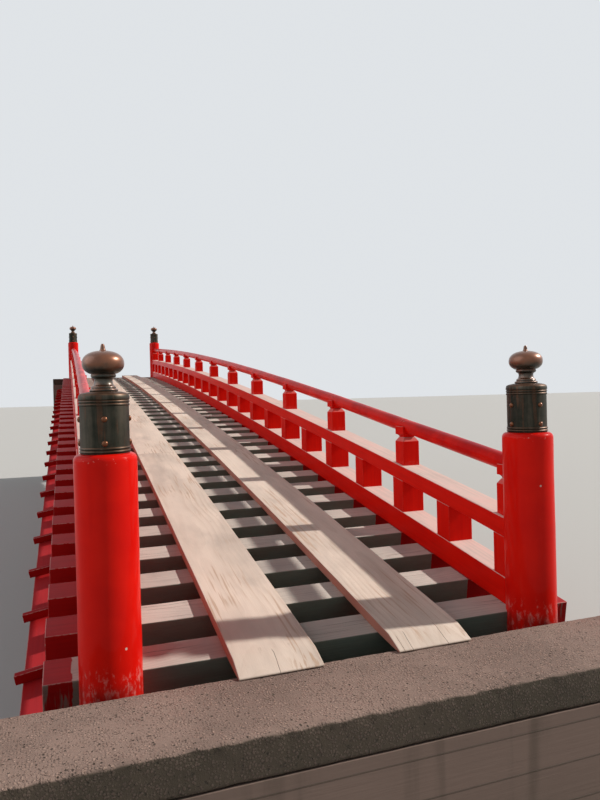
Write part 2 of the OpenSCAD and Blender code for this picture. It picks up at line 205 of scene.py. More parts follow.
class Nodes:
    """A node tree that is written as Python expressions."""

    def __init__(self, tree):
        self.tree = tree

    def node(self, kind, settings=None, inputs=None, output=0):
        """Adds one node: its settings first, then the values or links of its sockets."""
        added = self.tree.nodes.new("ShaderNode" + kind)
        for key, value in (settings or {}).items():
            setattr(added, key, value)
        for key, value in (inputs or {}).items():
            self.feed(added.inputs[key], value)
        return Value(self, added.outputs[output])

    def feed(self, socket, value):
        """Links a value to a socket, or sets the socket to a number, vector or colour."""
        if isinstance(value, Value):
            self.tree.links.new(value.socket, socket)
        elif socket.type == "RGBA":
            socket.default_value = (*value, 1.0)
        else:
            socket.default_value = value


class Finish(Nodes):
    """A material: its shader's sockets are set to constants, or fed by expressions."""

    def __init__(self, name, **constants):
        self.material = bpy.data.materials.new(name)
        self.material.use_nodes = True
        super().__init__(self.material.node_tree)
        for key, value in constants.items():
            self.set(key.replace("_", " "), value)

    def set(self, socket, value):
        """Feeds a socket of the shader."""
        self.feed(self.tree.nodes["Principled BSDF"].inputs[socket], value)

    def made(self, paint, roughness, height, distance):
        """The material, with a colour, a roughness and a normal from a height of 0 to 1."""
        self.set("Base Color", paint)
        self.set("Roughness", roughness)
        bump = {"Strength": 1.0, "Distance": distance, "Height": height}
        self.set("Normal", self.node("Bump", inputs=bump))
        return self.material

    def parts(self, vector):
        """The three numbers of a vector."""
        outputs = self.node("SeparateXYZ", inputs={0: vector}).socket.node.outputs
        return [Value(self, socket) for socket in outputs]

    def attribute(self, name):
        return self.node("Attribute", {"attribute_name": name}, output="Vector")

    def own(self, name):
        """The three numbers of an attribute of the piece: local, half or lot."""
        return self.parts(self.attribute(name))

    def normal(self):
        """The three numbers of the normal."""
        return self.parts(self.node("NewGeometry", output="Normal"))

    def vector(self, x, y, z):
        return self.node("CombineXYZ", inputs={0: x, 1: y, 2: z})

    def join(self, operation, first, second):
        """Two vectors added or multiplied, number by number."""
        return self.node("VectorMath", {"operation": operation}, {0: first, 1: second})

    def noise(self, place, scale=1.0, detail=2.0, roughness=0.5, shift=None):
        """Smooth noise from 0 to 1. Three scales stretch it, and a shift then moves it."""
        if isinstance(scale, tuple):
            place, scale = self.join("MULTIPLY", place, scale), 1.0
        if shift is not None:
            place = self.join("ADD", place, shift)
        look = {"Vector": place, "Scale": scale, "Detail": detail, "Roughness": roughness}
        return self.node("TexNoise", inputs=look)

    def cells(self, place, scale, output="Distance"):
        """Distance to the nearest of the points scattered in space, or that one's colour."""
        return self.node("TexVoronoi", inputs={"Vector": place, "Scale": scale}, output=output)

    def chance(self, number):
        """A random number from 0 to 1 that depends on the one given."""
        return self.node("TexWhiteNoise", {"noise_dimensions": "1D"}, {"W": number})

    def layers(self, paint, *coats):
        """A colour under coats: each is a share from 0 to 1 and a colour laid over the last."""
        for share, coat in coats:
            paint = self.node("Mix", {"data_type": "RGBA"}, {0: share, 6: paint, 7: coat}, output=2)
        return paint


def edge_distance(f):
    """Distance from the nearest edge of a box-like piece: of the three distances to its
    faces the least is the face that is looked at, and the second least is the edge."""
    x, y, z = [h - c.absolute() for c, h in zip(f.own("local"), f.own("half"))]
    return x.least(y).most(x.most(y).least(z))


def piece_place(f, strides=(37.0, 11.0, 23.0)):
    """The piece's own coordinates, moved by its lot number so that no two look alike."""
    lot = f.own("lot")[0]
    return f.join("ADD", f.attribute("local"), f.vector(*(lot * stride for stride in strides)))


def growth_rings(f, ring, wander):
    """Late-wood lines of a sawn board: the distance from a heart that wanders along the
    board, divided by the ring width, of which the fraction rises and drops at each ring."""
    along, across, depth = f.own("local")
    lot = f.own("lot")[0]
    heart_across = (f.chance(lot * 71.0) - 0.5) * 0.22
    heart_depth = f.chance(lot * 33.0) * 0.09 + 0.035
    drift = f.noise(f.vector(along * 0.9, lot * 40.0, 0.0), detail=1.0) - 0.5
    sway = f.noise(f.vector(along * 1.3, lot * 40.0, 7.0), detail=1.0) - 0.5
    x = across - heart_across - drift * wander
    y = depth + heart_depth + sway * wander
    warp = f.noise(piece_place(f), (3.0, 14.0, 14.0))
    fraction = (((x * x + y * y).root() + warp * 0.012 + along * 0.004) / ring).fraction()
    return fraction.step(0.35, 0.93) * (1.0 - fraction.step(0.93, 1.0))


def splits(f, spacing, share):
    """Thin splits along the grain: lanes of equal width wander a little, and the middle
    lines of a random share of them are split. Also gives each lane's number."""
    along, across, _ = f.own("local")
    lot = f.own("lot")[0]
    bend = f.noise(f.vector(along * 5.0, lot * 40.0, across * 4.0)) - 0.5
    lane = (across + bend * 0.035) / spacing + lot * 100.0
    chosen = f.chance(lane.floor() * 3.1).step(1.0 - share, 1.01 - share)
    line = 1.0 - (lane.fraction() - 0.5).absolute().step(0.0007 / spacing, 0.0019 / spacing)
    return line * chosen, lane.floor()


# Finishes


def made_once(build):
    """A function that gives the finish of a name, and builds it when first asked for."""
    return lambda name, **options: bpy.data.materials.get(name) or build(name, **options)


def shaded(paint, k):
    """A colour made lighter or darker by the factor k."""
    return tuple(min(1.0, c * k) for c in paint)


def lacquer_layers(f, base, deep, dusty, bleach=0.0, rubbing=1.0):
    """Paint over wood: cloudy colour, tops that are dusty in patches or bleached evenly,
    arrises rubbed pale but for those underneath, and chips down to the undercoat."""
    colours, wear = looks()
    place = piece_place(f)
    up = f.normal()[2]
    upward = up.step(0.40, 0.85)
    cloud = f.noise(place, 5.0, 4.0, 0.6)
    streak = f.noise(place, (3.0, 60.0, 60.0), 3.0)
    flake = f.noise(place, 55.0, 5.0, 0.65)
    edge = edge_distance(f)
    patchy = cloud * 0.5 + streak * 0.5
    dust = upward * (patchy.step(0.25, 0.6) * (1.0 - bleach) + bleach)
    faded = streak.step(0.35, 0.7) * 0.5 + cloud.step(0.45, 0.7) * 0.3
    rubbed = (1.0 - edge.step(0.0015, 0.0055)) * (flake + upward * 0.1).step(0.40, 0.58)
    near_edge = 1.0 - edge.step(0.0, 0.009)
    limit = 0.845 - 0.12 * wear.chips
    chip = (flake + near_edge * 0.16 * rubbing + f.own("lot")[1] * 0.16).step(limit - 0.03, limit)
    paint = f.layers(
        base,
        (patchy.step(0.35, 0.75) * 0.6, deep),
        (dust * wear.fade, f.layers(dusty, (faded, shaded(dusty, 0.72)))),
        (rubbed * up.step(-0.2, 0.1) * 0.36 * rubbing, colours.bleached),
        (chip, colours.undercoat),
    )
    return paint, dust, chip, streak, flake


@made_once
def rail_finish(name, bleach=0.0, rubbing=1.0):
    """Satin lacquer of the railing; tops that are leaned and stepped on are bleached."""
    f = Finish(name, Specular_IOR_Level=0.04)
    colours, wear = looks()
    paint, dust, chip, streak, flake = lacquer_layers(
        f, colours.lacquer, colours.lacquer_deep, colours.bleached, bleach, rubbing
    )
    roughness = 0.30 + dust * 0.38 + chip * 0.3 + flake * 0.08
    return f.made(paint, roughness, streak * 0.6 + flake * 0.3 - chip * 0.6, wear.relief * 0.7)


@made_once
def old_red_finish(name, sheltered=False):
    """Old paint, dull crimson where it faces the sky. A skirt board is a deeper red
    at its far end, just below the next batten."""
    f = Finish(name, Specular_IOR_Level=0.02)
    colours, wear = looks()
    red, dusty = colours.old_red, shaded(colours.dusty_red, 1.12 if sheltered else 1.0)
    paint, dust, chip, streak, flake = lacquer_layers(f, red, shaded(red, 0.7), dusty, 0.75)
    if sheltered:
        from_end = f.own("half")[0] - f.own("local")[0]
        # a deeper red at the board's far end, just below the next batten
        deep_by_batten = 1.0 - (from_end + streak * 0.1).step(0.06, 0.26)
        paint = f.layers(paint, (deep_by_batten * 0.7, shaded(red, 0.8)))
    roughness = 0.42 + dust * 0.2 + chip * 0.25
    return f.made(paint, roughness, streak * 0.6 + flake * 0.4 - chip * 0.6, wear.relief)


@made_once
def timber_finish(name):
    """Bare tops, fronts painted darker and greenish as shade, and ends that are painted red
    outside the bottom rail. The end timbers stay bare for a hand's breadth more, beside the posts."""
    f = Finish(name, Specular_IOR_Level=0.1)
    colours, wear = looks()
    timber, dark, red = colours.timber, colours.timber_dark, colours.old_red
    place = piece_place(f)
    along = f.own("local")[0]
    lot, worn, last = f.own("lot")
    rings = growth_rings(f, 0.0095, 0.07)
    fibre = f.noise(place, (7.0, 240.0, 240.0), 3.0)
    cloud = f.noise(place, (2.2, 9.0, 9.0), 4.0, 0.6)
    grey = f.noise(place, (3.0, 3.0, 3.0), 3.0, shift=(8.0, 2.0, 5.0))
    red_brown_patches = f.noise(place, (1.2, 5.0, 5.0), 3.0, shift=(1.0, 7.0, 2.0))
    upward = f.normal()[2].step(0.4, 0.9)
    crack, lane = splits(f, 0.031, 0.6)
    opened = f.noise(f.vector(along * 1.7, lane * 9.0, lot * 50.0), detail=1.0)
    crack = crack * opened.step(0.52, 0.60)
    top = f.layers(
        shaded(timber, 1.12),
        (f.chance(lot * 17.0) * 0.45 + cloud * 0.55, shaded(timber, 0.78)),
        (rings * 0.16 + fibre.step(0.45, 0.8) * 0.16, (0.19, 0.14, 0.12)),
        (grey.step(0.5, 0.7) * 0.35, (0.33, 0.29, 0.29)),
        (crack * 0.6, (0.09, 0.07, 0.06)),
    )
    # painted shade: faces that do not look up get the darker, greenish front colour, standing for shade and
    # reflected light
    shaded_front = f.layers(
        shaded(dark, 1.35),
        (cloud, shaded(dark, 0.75)),
        (fibre.step(0.4, 0.8) * 0.25, (0.17, 0.145, 0.12)),
        # reddish-brown patches at random on the fronts
        (red_brown_patches.step(0.54, 0.68) * 0.3, (0.20, 0.10, 0.075)),
        ((1.0 - edge_distance(f).step(0.0, 0.009)) * 0.30, shaded(timber, 0.7)),
    )
    paint, _, chip, _, _ = lacquer_layers(f, red, shaded(red, 0.7), colours.dusty_red, 0.8)
    paint_from, paint_to, hand = 0.914, 0.918, 0.231
    ragged = (f.noise(place, 30.0, 3.0) - 0.5) * 0.010
    painted = along.absolute() + ragged * (last * 1.5 + 1.0) - last * hand
    scraped = f.noise(place, (60.0, 60.0, 6.0), 3.0).step(0.50, 0.64) * (1.0 - upward) * last
    peel = f.noise(place, (9.0, 20.0, 5.0), 4.0, 0.65) + worn * 0.3
    peel = peel.step(0.76, 0.82).most(chip).most(scraped * 0.7)
    painted = painted.step(paint_from, paint_to) * (1.0 - peel)
    height = fibre * 0.35 + rings * 0.25 - crack * 1.4 + cloud * 0.3
    height = height * (1.0 - painted * 0.7) + painted * 0.5
    body = f.layers(shaded_front, (upward, top), (painted, paint))
    return f.made(body, painted * -0.26 + 0.72 + fibre * 0.1, height, wear.relief * 2.0)


@made_once
def plank_finish(name):
    """Pale boards with faint late-wood lines, soft grey stains, and reddish sides: a stain, with red light
    bounced from the railing painted in.
    """
    f = Finish(name, Specular_IOR_Level=0.3)
    colours, wear = looks()
    plank, grain = colours.plank, colours.grain
    place = piece_place(f)
    rings = growth_rings(f, 0.026, 0.10)
    fibre = f.noise(place, (5.0, 260.0, 260.0), 3.0)
    cloud = f.noise(place, (1.4, 5.0, 5.0), 4.0, 0.55)
    shows = f.noise(place, (0.8, 3.0, 3.0), shift=(4.0, 6.0, 1.0)).step(0.42, 0.66)
    stain = f.noise(place, (1.3, 3.2, 3.2), 4.0, 0.6, (3.0, 1.0, 9.0))
    spot = f.noise(place, (5.0, 16.0, 16.0), 5.0, 0.65, (3.0, 1.0, 2.0))
    drip = f.noise(place, (2.6, 70.0, 70.0), shift=(2.0, 8.0, 3.0))
    wet = f.noise(place, (1.0, 4.0, 4.0), shift=(6.0, 3.0, 8.0))
    crack, lane = splits(f, 0.042, 0.30)
    from_end = f.own("half")[0] - f.own("local")[0].absolute()
    crack = crack * (1.0 - (from_end - f.chance(lane * 5.3) * 0.24).step(-0.03, 0.0))
    board = f.layers(
        shaded(plank, 1.10),
        (cloud.step(0.25, 0.75), shaded(plank, 0.86)),
        (rings * (shows * 0.30 + 0.06), grain),
        (fibre.step(0.5, 0.85) * 0.16, grain),
        (stain.step(0.50, 0.72) * 0.40, (0.36, 0.30, 0.265)),
        (spot.step(0.64, 0.76) * 0.35, (0.30, 0.20, 0.14)),
        (crack * 0.75, (0.13, 0.085, 0.065)),
        (drip.step(0.53, 0.63) * wet.step(0.50, 0.60) * 0.6, (0.50, 0.31, 0.19)),
        # partly painted light: reddish sides, a stain with red bounce light from the railing painted in
        (f.normal()[0].absolute().step(0.5, 0.9) * 0.85, colours.plank_side),
        ((1.0 - edge_distance(f).step(0.0, 0.006)) * 0.25, shaded(plank, 0.6)),
    )
    height = fibre * 0.4 + rings * 0.25 - crack * 1.5
    return f.made(board, 0.58 + fibre * 0.15 + stain * 0.1, height, wear.relief * 1.6)


@made_once
def post_finish(name):
    """Glossy lacquer on a round post, with a few pale chips, runs in the paint, a scuffed
    base and a nicked shoulder."""
    f = Finish(name, Specular_IOR_Level=0.02, Coat_Weight=0.26, Coat_IOR=1.3, Coat_Roughness=0.03)
    colours, wear = looks()
    place = piece_place(f, (9.0, 5.0, 3.0))
    above_kerb = f.own("local")[2]
    cloud = f.noise(place, 4.0, 4.0, 0.6)
    run = f.noise(place, (30.0, 30.0, 2.0), 3.0)
    fleck = f.cells(place, 15.0) + f.noise(place, 160.0, 3.0) * 0.05
    rare = f.parts(f.cells(place, 15.0, "Color"))[0]
    chip = 1.0 - (fleck - rare.step(0.80, 1.0) * 0.10).step(0.0, 0.02)
    chip = chip * rare.step(0.80, 0.84)
    low = 1.0 - above_kerb.step(0.03, 0.17)
    scuff = f.noise(place, (40.0, 40.0, 22.0), 6.0, 0.7)
    scuff = (scuff + low * 0.16).step(0.64, 0.80) * low
    shoulder = above_kerb.step(0.855, 0.885) * (1.0 - above_kerb.step(0.894, 0.900))
    nick = f.noise(place, 85.0, 4.0, 0.6).step(0.62, 0.70) * shoulder
    # darker streaks at the foot of the post
    darker_at_foot = (1.0 - above_kerb.step(0.0, 0.05)) * run.step(0.3, 0.7)
    paint = f.layers(
        colours.lacquer,
        (cloud.step(0.3, 0.75) * 0.5, colours.lacquer_deep),
        (run.step(0.5, 0.8) * 0.25, colours.lacquer_deep),
        (scuff * 0.24, colours.bleached),
        (chip.most(nick * 0.5), colours.undercoat),
        (darker_at_foot * 0.5, (0.16, 0.02, 0.015)),
    )
    roughness = 0.26 + scuff * 0.3 + chip * 0.35 + cloud * 0.08
    return f.made(paint, roughness, run * 0.3 + cloud * 0.4 - chip * 0.8 - scuff * 0.3, wear.relief)


@made_once
def round_rail_finish(name):
    """Lacquer on a round rail: a purplish sky reflection painted along its top, worn to grey over the
    saddles.
    """
    f = Finish(name, Specular_IOR_Level=0.03, Coat_Weight=0.16, Coat_IOR=1.3, Coat_Roughness=0.07)
    colours, wear = looks()
    place = piece_place(f)
    cloud = f.noise(place, 5.0, 4.0, 0.6)
    streak = f.noise(place, (2.0, 50.0, 50.0), 3.0)
    flake = f.noise(place, 48.0, 6.0, 0.68)
    up = f.normal()[2]
    # painted reflection: a purplish band of sky reflection along the rail's top, which is also rougher
    # there
    painted_sky_reflection = up.step(0.72, 0.96) * (cloud * 0.4 + streak * 0.6).step(0.30, 0.62)
    from_end = f.own("half")[0] - f.own("local")[0].absolute()
    over_saddle = 1.0 - from_end.step(0.02, 0.13)
    worn = (flake + over_saddle * 0.16 + cloud * 0.08).step(0.76, 0.82) * up.step(0.3, 0.9)
    paint = f.layers(
        colours.lacquer,
        (cloud.step(0.35, 0.7), colours.lacquer_deep),
        (painted_sky_reflection * 0.5, (0.28, 0.07, 0.10)),
        (worn * 0.85, (0.42, 0.33, 0.31)),
    )
    height = streak * 0.5 + flake * 0.2 - worn * 0.6
    return f.made(paint, 0.28 + painted_sky_reflection * 0.14 + worn * 0.35, height, wear.relief * 0.8)


@made_once
def bronze_finish(name, warm=False):
    """Bronze with a dark patina, streaked and green in places, under a thin clear film; broad near-black
    patches partly stand for painted reflections of dark surroundings.
    The warm kind is rubbed brown, lighter on upward faces and darker on undersides as painted light from
    above, and keeps its patina in its neck."""
    f = Finish(name, Coat_Weight=0.7 if warm else 0.10, Coat_Roughness=0.28)
    colours, wear = looks()
    proud = f.own("half")[0]
    place = piece_place(f, (7.0, 3.0, 5.0))
    cloud = f.noise(place, 16.0, 5.0, 0.6)
    run = f.noise(place, (38.0, 38.0, 3.0), 4.0, 0.6)
    speck = f.noise(place, 130.0, 4.0, 0.6)
    broad = f.noise(place, (10.0, 10.0, 0.9), shift=(3.0, 8.0, 1.0))
    up = f.normal()[2]
    if warm:
        # painted light: upward faces are rubbed brown and undersides stay dark, standing for light from
        # above, besides real rubbing
        rubbed = (up * 0.40 + proud * 0.40 + cloud * 1.30 - 0.55).step(0.0, 0.65)
        dull = 0.40
    else:
        rivet = proud.step(0.80, 0.95)
        rubbed = rivet.most(run.step(0.52, 0.66) * 0.30).most(up.step(0.15, 0.6) * 0.35)
        dull = 0.56 - proud * 0.26
    green = (run * 0.6 + speck * 0.4).step(0.50, 0.70) * (1.0 - rubbed)
    # partly painted reflection: broad near-black patina patches stand in for reflections of dark
    # surroundings
    old = (cloud * 0.15 + run * 0.35 + broad * 0.50).step(0.36, 0.56)
    patina = f.layers(shaded(colours.patina, 1.7), (old, (0.012, 0.015, 0.010)))
    brown = f.layers(colours.bronze, (cloud.step(0.3, 0.7), shaded(colours.bronze, 0.6)))
    metal = f.layers(patina, (rubbed, brown), (green * 0.4, (0.026, 0.036, 0.027)))
    f.set("Metallic", 0.95 - green * 0.4 - rubbed * 0.35)
    roughness = cloud * 0.10 - rubbed * 0.06 + green * 0.1 + dull
    return f.made(metal, roughness, speck * 0.4 + cloud * 0.6, wear.relief * 0.5)


@made_once
def concrete_finish(name):
    """Exposed aggregate: small stones of many greys and browns in a sandy ground, with dark
    pits, and side faces painted darker as shade. A crack runs across outside each post."""
    f = Finish(name, Specular_IOR_Level=0.3)
    pale, dark = looks()[0].concrete, looks()[0].concrete_dark
    place = f.node("TexCoord", output="Object")
    cloud = f.noise(place, 2.2, 5.0, 0.6)
    hue = f.parts(f.cells(place, 95.0, "Color"))
    shows = 1.0 - f.cells(place, 95.0).step(0.30, 0.52)
    shows = shows * f.noise(place, 22.0, 3.0).step(0.32, 0.55)
    grit = f.noise(place, 300.0, 3.0, 0.7)
    rare = f.parts(f.cells(place, 48.0, "Color"))[0].step(0.80, 0.86)
    pit = (1.0 - (f.cells(place, 48.0) + grit * 0.16).step(0.20, 0.34)) * rare
    pit = pit.most(f.noise(place, 85.0).step(0.66, 0.72))
    # painted shade: faces that do not look up are laid darker
    painted_side_shade = (1.0 - f.normal()[2].step(0.25, 0.80)) * (cloud * 0.2 + 0.8)
    stones = f.layers(shaded(pale, 0.42), (hue[0], shaded(pale, 1.8)), (hue[1] * 0.35, (0.42, 0.27, 0.20)))
    # painted shade: the darker colour laid on the side faces
    wet = f.layers(dark, (shows * 0.5 + grit * 0.3, shaded(pale, 0.42)))
    x, y, _ = f.parts(place)
    crack_x, outer_y = 2.315, 7.70
    across = (x + y * 0.35 + f.noise(place, 14.0) * 0.05).absolute() - crack_x
    crack = (1.0 - across.absolute().step(0.0008, 0.0028)) * (y.absolute() - outer_y).step(0.0, 0.16)
    body = f.layers(
        shaded(pale, 1.12),
        (cloud.step(0.3, 0.7), shaded(pale, 0.74)),
        (shows * 0.8, stones),
        (grit.step(0.35, 0.65) * 0.35, shaded(pale, 0.45)),
        (pit * 0.85, shaded(dark, 0.6)),
        (painted_side_shade, wet),
        (crack * 0.7, shaded(dark, 0.5)),
    )
    return f.made(body, 0.82 + grit * 0.12, shows * 0.5 + grit * 0.35 - pit * 1.2, 0.006)


@made_once
def wall_finish(name):
    """Board-marked concrete: each board has its own shade, and fins stand at their joints."""
    f = Finish(name, Specular_IOR_Level=0.3)
    pale, dark = looks()[0].concrete, looks()[0].concrete_dark
    place = f.node("TexCoord", output="Object")
    z = f.parts(place)[2]
    board_h = 0.15
    board = z / board_h
    joint = (board.fraction() - 0.5).absolute().step(0.47, 0.495)
    shade = f.chance(board.floor() * 3.7)
    cloud = f.noise(place, 1.6, 5.0, 0.6)
    fibre = f.noise(place, (4.0, 4.0, 90.0), 3.0)
    run = f.noise(place, (9.0, 9.0, 0.8), 4.0).step(0.5, 0.75)
    body = f.layers(
        shaded(pale, 0.9),
        (shade * 0.5 + cloud * 0.5, shaded(pale, 0.55)),
        (run * 0.4, dark),
        (joint * 0.5, dark),
        ((1.0 - z.step(0.0, 0.5)) * cloud * 0.7, (0.09, 0.085, 0.06)),
    )
    height = fibre * 0.3 + joint * 0.8 + shade * 0.4 + cloud * 0.4
    return f.made(body, 0.84 + fibre * 0.1, height, 0.004)


# Surfaces


def wobble(t, seed, first=1.0):
    """Uneven curve within about -1 and 1: four sines of t, each 2.1 times as quick as the
    one before and 1.8 times as low, with phases drawn from the seed."""
    phases = np.random.default_rng(seed).uniform(0, 2 * np.pi, 4)
    return sum(np.sin(t * first * 2.1**k + phase) / 1.8**k for k, phase in enumerate(phases)) / 1.6


def joined(*parts):
    """Arrays spread to one shape and joined, such as x, y and z into points."""
    return np.stack(np.broadcast_arrays(*parts), axis=-1)


def lumps(points, size, seed):
    """Value noise within -1 and 1: random numbers on a cubic lattice of the given size,
    blended smoothly between its corners."""
    p = points / size + 1000.0
    cell = np.floor(p).astype(np.int64)
    part = p - cell
    part = part * part * (3 - 2 * part)
    total = 0.0
    for corner in np.ndindex(2, 2, 2):
        at = cell + corner
        mixed = at[..., 0] * 73856093 ^ at[..., 1] * 19349663 ^ at[..., 2] * 83492791 ^ (seed * 2654435)
        mixed = (mixed ^ (mixed >> 13)) * 1274126177
        drawn = ((mixed ^ (mixed >> 16)) & 0xFFFF) / 32767.5 - 1.0
        total = total + drawn * np.prod(np.where(corner, part, 1 - part), axis=-1)
    return total


def rounded_outline(half_w, half_h, r, inset=0.0, steps=3):
    """Rectangle with rounded corners, drawn in by inset: each corner is a quarter circle
    about the point that lies r in from both sides. The sizes may be columns, one per ring."""
    k = np.arange(4 * (steps + 1))
    quarter = k // (steps + 1)
    angle = (quarter + (k % (steps + 1)) / steps) * np.pi / 2
    side_a = np.array([1, -1, -1, 1])[quarter]
    side_b = np.array([1, 1, -1, -1])[quarter]
    left = np.maximum(r - inset, 0.0003)
    a = side_a * (half_w - inset - left) + left * np.cos(angle)
    b = side_b * (half_h - inset - left) + left * np.sin(angle)
    return a, b


def round_angles(count):
    """A row of angles evenly round a circle."""
    return np.linspace(0, 2 * np.pi, count, endpoint=False)[None, :]


def ends_rounded(start, stop, spacing, r, steps=3):
    """Stations from start to stop, and how far the outline is drawn in at each: a quarter
    circle of radius r at both ends, so that the end edges are rounded too."""
    angle = np.linspace(np.pi / 2, 0, steps + 1)
    lead = r * (1 - np.sin(angle))
    inset = r * (1 - np.cos(angle))
    count = max(2, int(math.ceil((stop - start - 2 * r) / spacing)) + 1)
    body = np.linspace(start + r, stop - r, count)[1:-1]
    s = np.concatenate([start + lead, body, (stop - lead)[::-1]])
    return s, np.concatenate([inset, np.zeros(len(body)), inset[::-1]])


def butted(count, inner, start, stop, gap):
    """Start and stop of each of count lengths in a row from start to stop: their joints lie
    at even steps from -inner to inner, and each is open by the gap."""
    joints = -inner + 2 * inner / count * np.arange(1, count)
    return zip([start, *(joints + gap / 2)], [*(joints - gap / 2), stop])


def read(items, key, width=1, kind=np.float32):
    """One value, or one vector of that width, of every item of a mesh, in a row."""
    values = np.empty(len(items) * width, kind)
    items.foreach_get(key, values)
    return values


def put(name, data):
    """A new object in the scene."""
    made = bpy.data.objects.new(name, data)
    bpy.context.scene.collection.objects.link(made)
    return made


class Heap:
    """Closed surfaces on grids, gathered into one mesh with the attributes that its
    material reads: local (place in the piece), half (half sizes) and lot (its number)."""

    def __init__(self):
        self.points, self.faces = [], []
        self.own = {"local": [], "half": [], "lot": []}
        self.count = 0

    def add(self, points, local, half, seed, wear=0.0, extra=0.0):
        """A tube of rings: points is (rings, around, 3). Its two ends are closed flat. The
        faces are turned over if the volume that they enclose comes out below nothing."""
        rings, around = points.shape[:2]
        at = np.arange(rings * around).reshape(rings, around)
        after = np.roll(at, -1, axis=1)
        quads = joined(at[:-1], after[:-1], after[1:], at[1:]).reshape(-1, 4)
        caps = [at[0][::-1], at[-1]]
        flat = points.reshape(-1, 3)
        a, b, c, d = np.moveaxis(flat[quads] - flat.mean(0), 1, 0)
        volume = np.einsum("ij,ij->i", a, np.cross(b, c) + np.cross(c, d)).sum()
        if volume < 0:
            quads = quads[:, ::-1]
            caps = [cap[::-1] for cap in caps]
        self.faces += (quads + self.count).tolist()
        self.faces += [(cap + self.count).tolist() for cap in caps]
        self.points.append(flat)
        lot = (np.random.default_rng(seed).random(), wear, extra)
        for key, value in (("local", local), ("half", half), ("lot", lot)):
            self.own[key].append(np.broadcast_to(value, points.shape).reshape(-1, 3))
        self.count += len(flat)

    def build(self, name, finish, node, slot):
        """The piece: smooth, with normals weighted by the area of the faces, so that broad
        faces stay flat and only their edges look round. It rides on the root, stands for a
        node and takes the finish that it is given; the slot is not used."""
        mesh = bpy.data.meshes.new(name)
        mesh.from_pydata(np.concatenate(self.points).tolist(), [], self.faces)
        for key, values in self.own.items():
            layer = mesh.attributes.new(key, "FLOAT_VECTOR", "POINT")
            layer.data.foreach_set("vector", np.concatenate(values).astype(np.float32).ravel())
        mesh.materials.append(finish)
        mesh.polygons.foreach_set("use_smooth", np.ones(len(mesh.polygons), bool))
        mesh.normals_split_custom_set_from_vertices(self.vertex_normals(mesh).tolist())
        piece = put(name, mesh)
        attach(piece, "root")
        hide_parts(node)

    @staticmethod
    def vertex_normals(mesh):
        """Sum, at each vertex, of the area times the normal of the faces round it."""
        faces = mesh.polygons
        weighted = read(faces, "normal", 3).reshape(-1, 3) * read(faces, "area")[:, None]
        spread = np.repeat(weighted, read(faces, "loop_total", kind=np.int32), axis=0)
        out = np.zeros((len(mesh.vertices), 3))
        np.add.at(out, read(mesh.loops, "vertex_index", kind=np.int32), spread)
        return out / np.maximum(np.linalg.norm(out, axis=1, keepdims=True), 1e-12)


def bar(heap, place, start, stop, half_w, half_h, r, seed, spacing=0.09, wear=0.0, extra=0.0):
    """A sawn bar: a rounded outline carried from start to stop. place turns (along, across,
    up) into points, and half_h may be a function of the station. The corner radius and the
    faces waver a little along the bar, as planed and worn timber does."""
    uneven, sway, fullest = 0.35, 0.0005, 0.9
    height = half_h if callable(half_h) else lambda s: np.full_like(s, half_h)
    first = float(height(np.array([[float(start)]]))[0, 0])
    s, inset = ends_rounded(start, stop, spacing, min(r, fullest * min(half_w, first)))
    column = s[:, None]
    w, h = np.full_like(column, half_w), height(column)
    radius = np.minimum(r * (1 + uneven * wobble(column, seed, 9.0)), fullest * np.minimum(w, h))
    a, b = rounded_outline(w, h, radius, inset[:, None])
    a = a + sway * wobble(column, seed + 1, 2.3)
    b = b + sway * wobble(column, seed + 2, 2.9)
    local, half = joined(column - (start + stop) / 2, a, b), joined((stop - start) / 2, w, h)
    heap.add(place(column, a, b), local, half, seed, wear, extra)


def between(x, low, high):
    """For a bar along the bridge at x that fills the height from low to high, which are
    functions of the station: its place and its half height."""
    place = lambda s, a, b: joined(x + a, s, (low(s) + high(s)) / 2 + b)
    return place, lambda s: (high(s) - low(s)) / 2


def on_axes(origin, along, across, up):
    """For a bar along any line: its place, measured along three axes from an origin."""
    return lambda s, a, b: origin + s[..., None] * along + a[..., None] * across + b[..., None] * up


def upright(heap, x, y, half_x, half_y, foot, top, seed, r, levels):
    """A plumb piece: a rounded outline carried upwards. foot and top give heights over
    plan points, and levels lists (share of the height, rise above it, inset)."""
    share, rise, inset = (np.array(column)[:, None] for column in zip(*levels))
    a, b = rounded_outline(half_x, half_y, r, inset)
    low, high = foot(y + b), top(y + b)
    z = low + (high - low) * share + rise
    half_z = float(z.max() - z.min()) / 2
    local = joined(z - float(z.mean()), a, b)
    heap.add(joined(x + a, y + b, z), local, (half_z, half_x, half_y), seed)


def turned(heap, x, y, z, profile, seed, proud=0.0):
    """A turned piece: a profile of (radius, height) carried round a plumb axis. proud says
    how far each ring stands out to be rubbed, from 0 to 1, and fills the first half size."""
    r, h = profile[:, 0:1], profile[:, 1:2]
    angle = round_angles(96)
    a, b = r * np.cos(angle), r * np.sin(angle)
    half = joined(np.broadcast_to(proud, len(profile))[:, None], 0, 0)
    heap.add(joined(x + a, y + b, z + h), joined(a, b, h), half, seed)


def smooth_profile(points, spacing):
    """A curve through points that keeps its shape: chord-length cubic through each point,
    with slopes from its neighbours, sampled about every spacing."""
    p = np.asarray(points, float)
    t = np.concatenate([[0], np.cumsum(np.linalg.norm(np.diff(p, axis=0), axis=1))])
    slope = np.gradient(p, t, axis=0)
    out = []
    for i, d in enumerate(np.diff(t)):
        n = max(1, int(round(d / spacing)))
        u = np.linspace(0, 1, n, endpoint=False)[:, None]
        out.append(
            (2 * u**3 - 3 * u**2 + 1) * p[i]
            + (u**3 - 2 * u**2 + u) * d * slope[i]
            + (3 * u**2 - 2 * u**3) * p[i + 1]
            + (u**3 - u**2) * d * slope[i + 1]
        )
    return np.concatenate([*out, p[-1:]])


# Layout


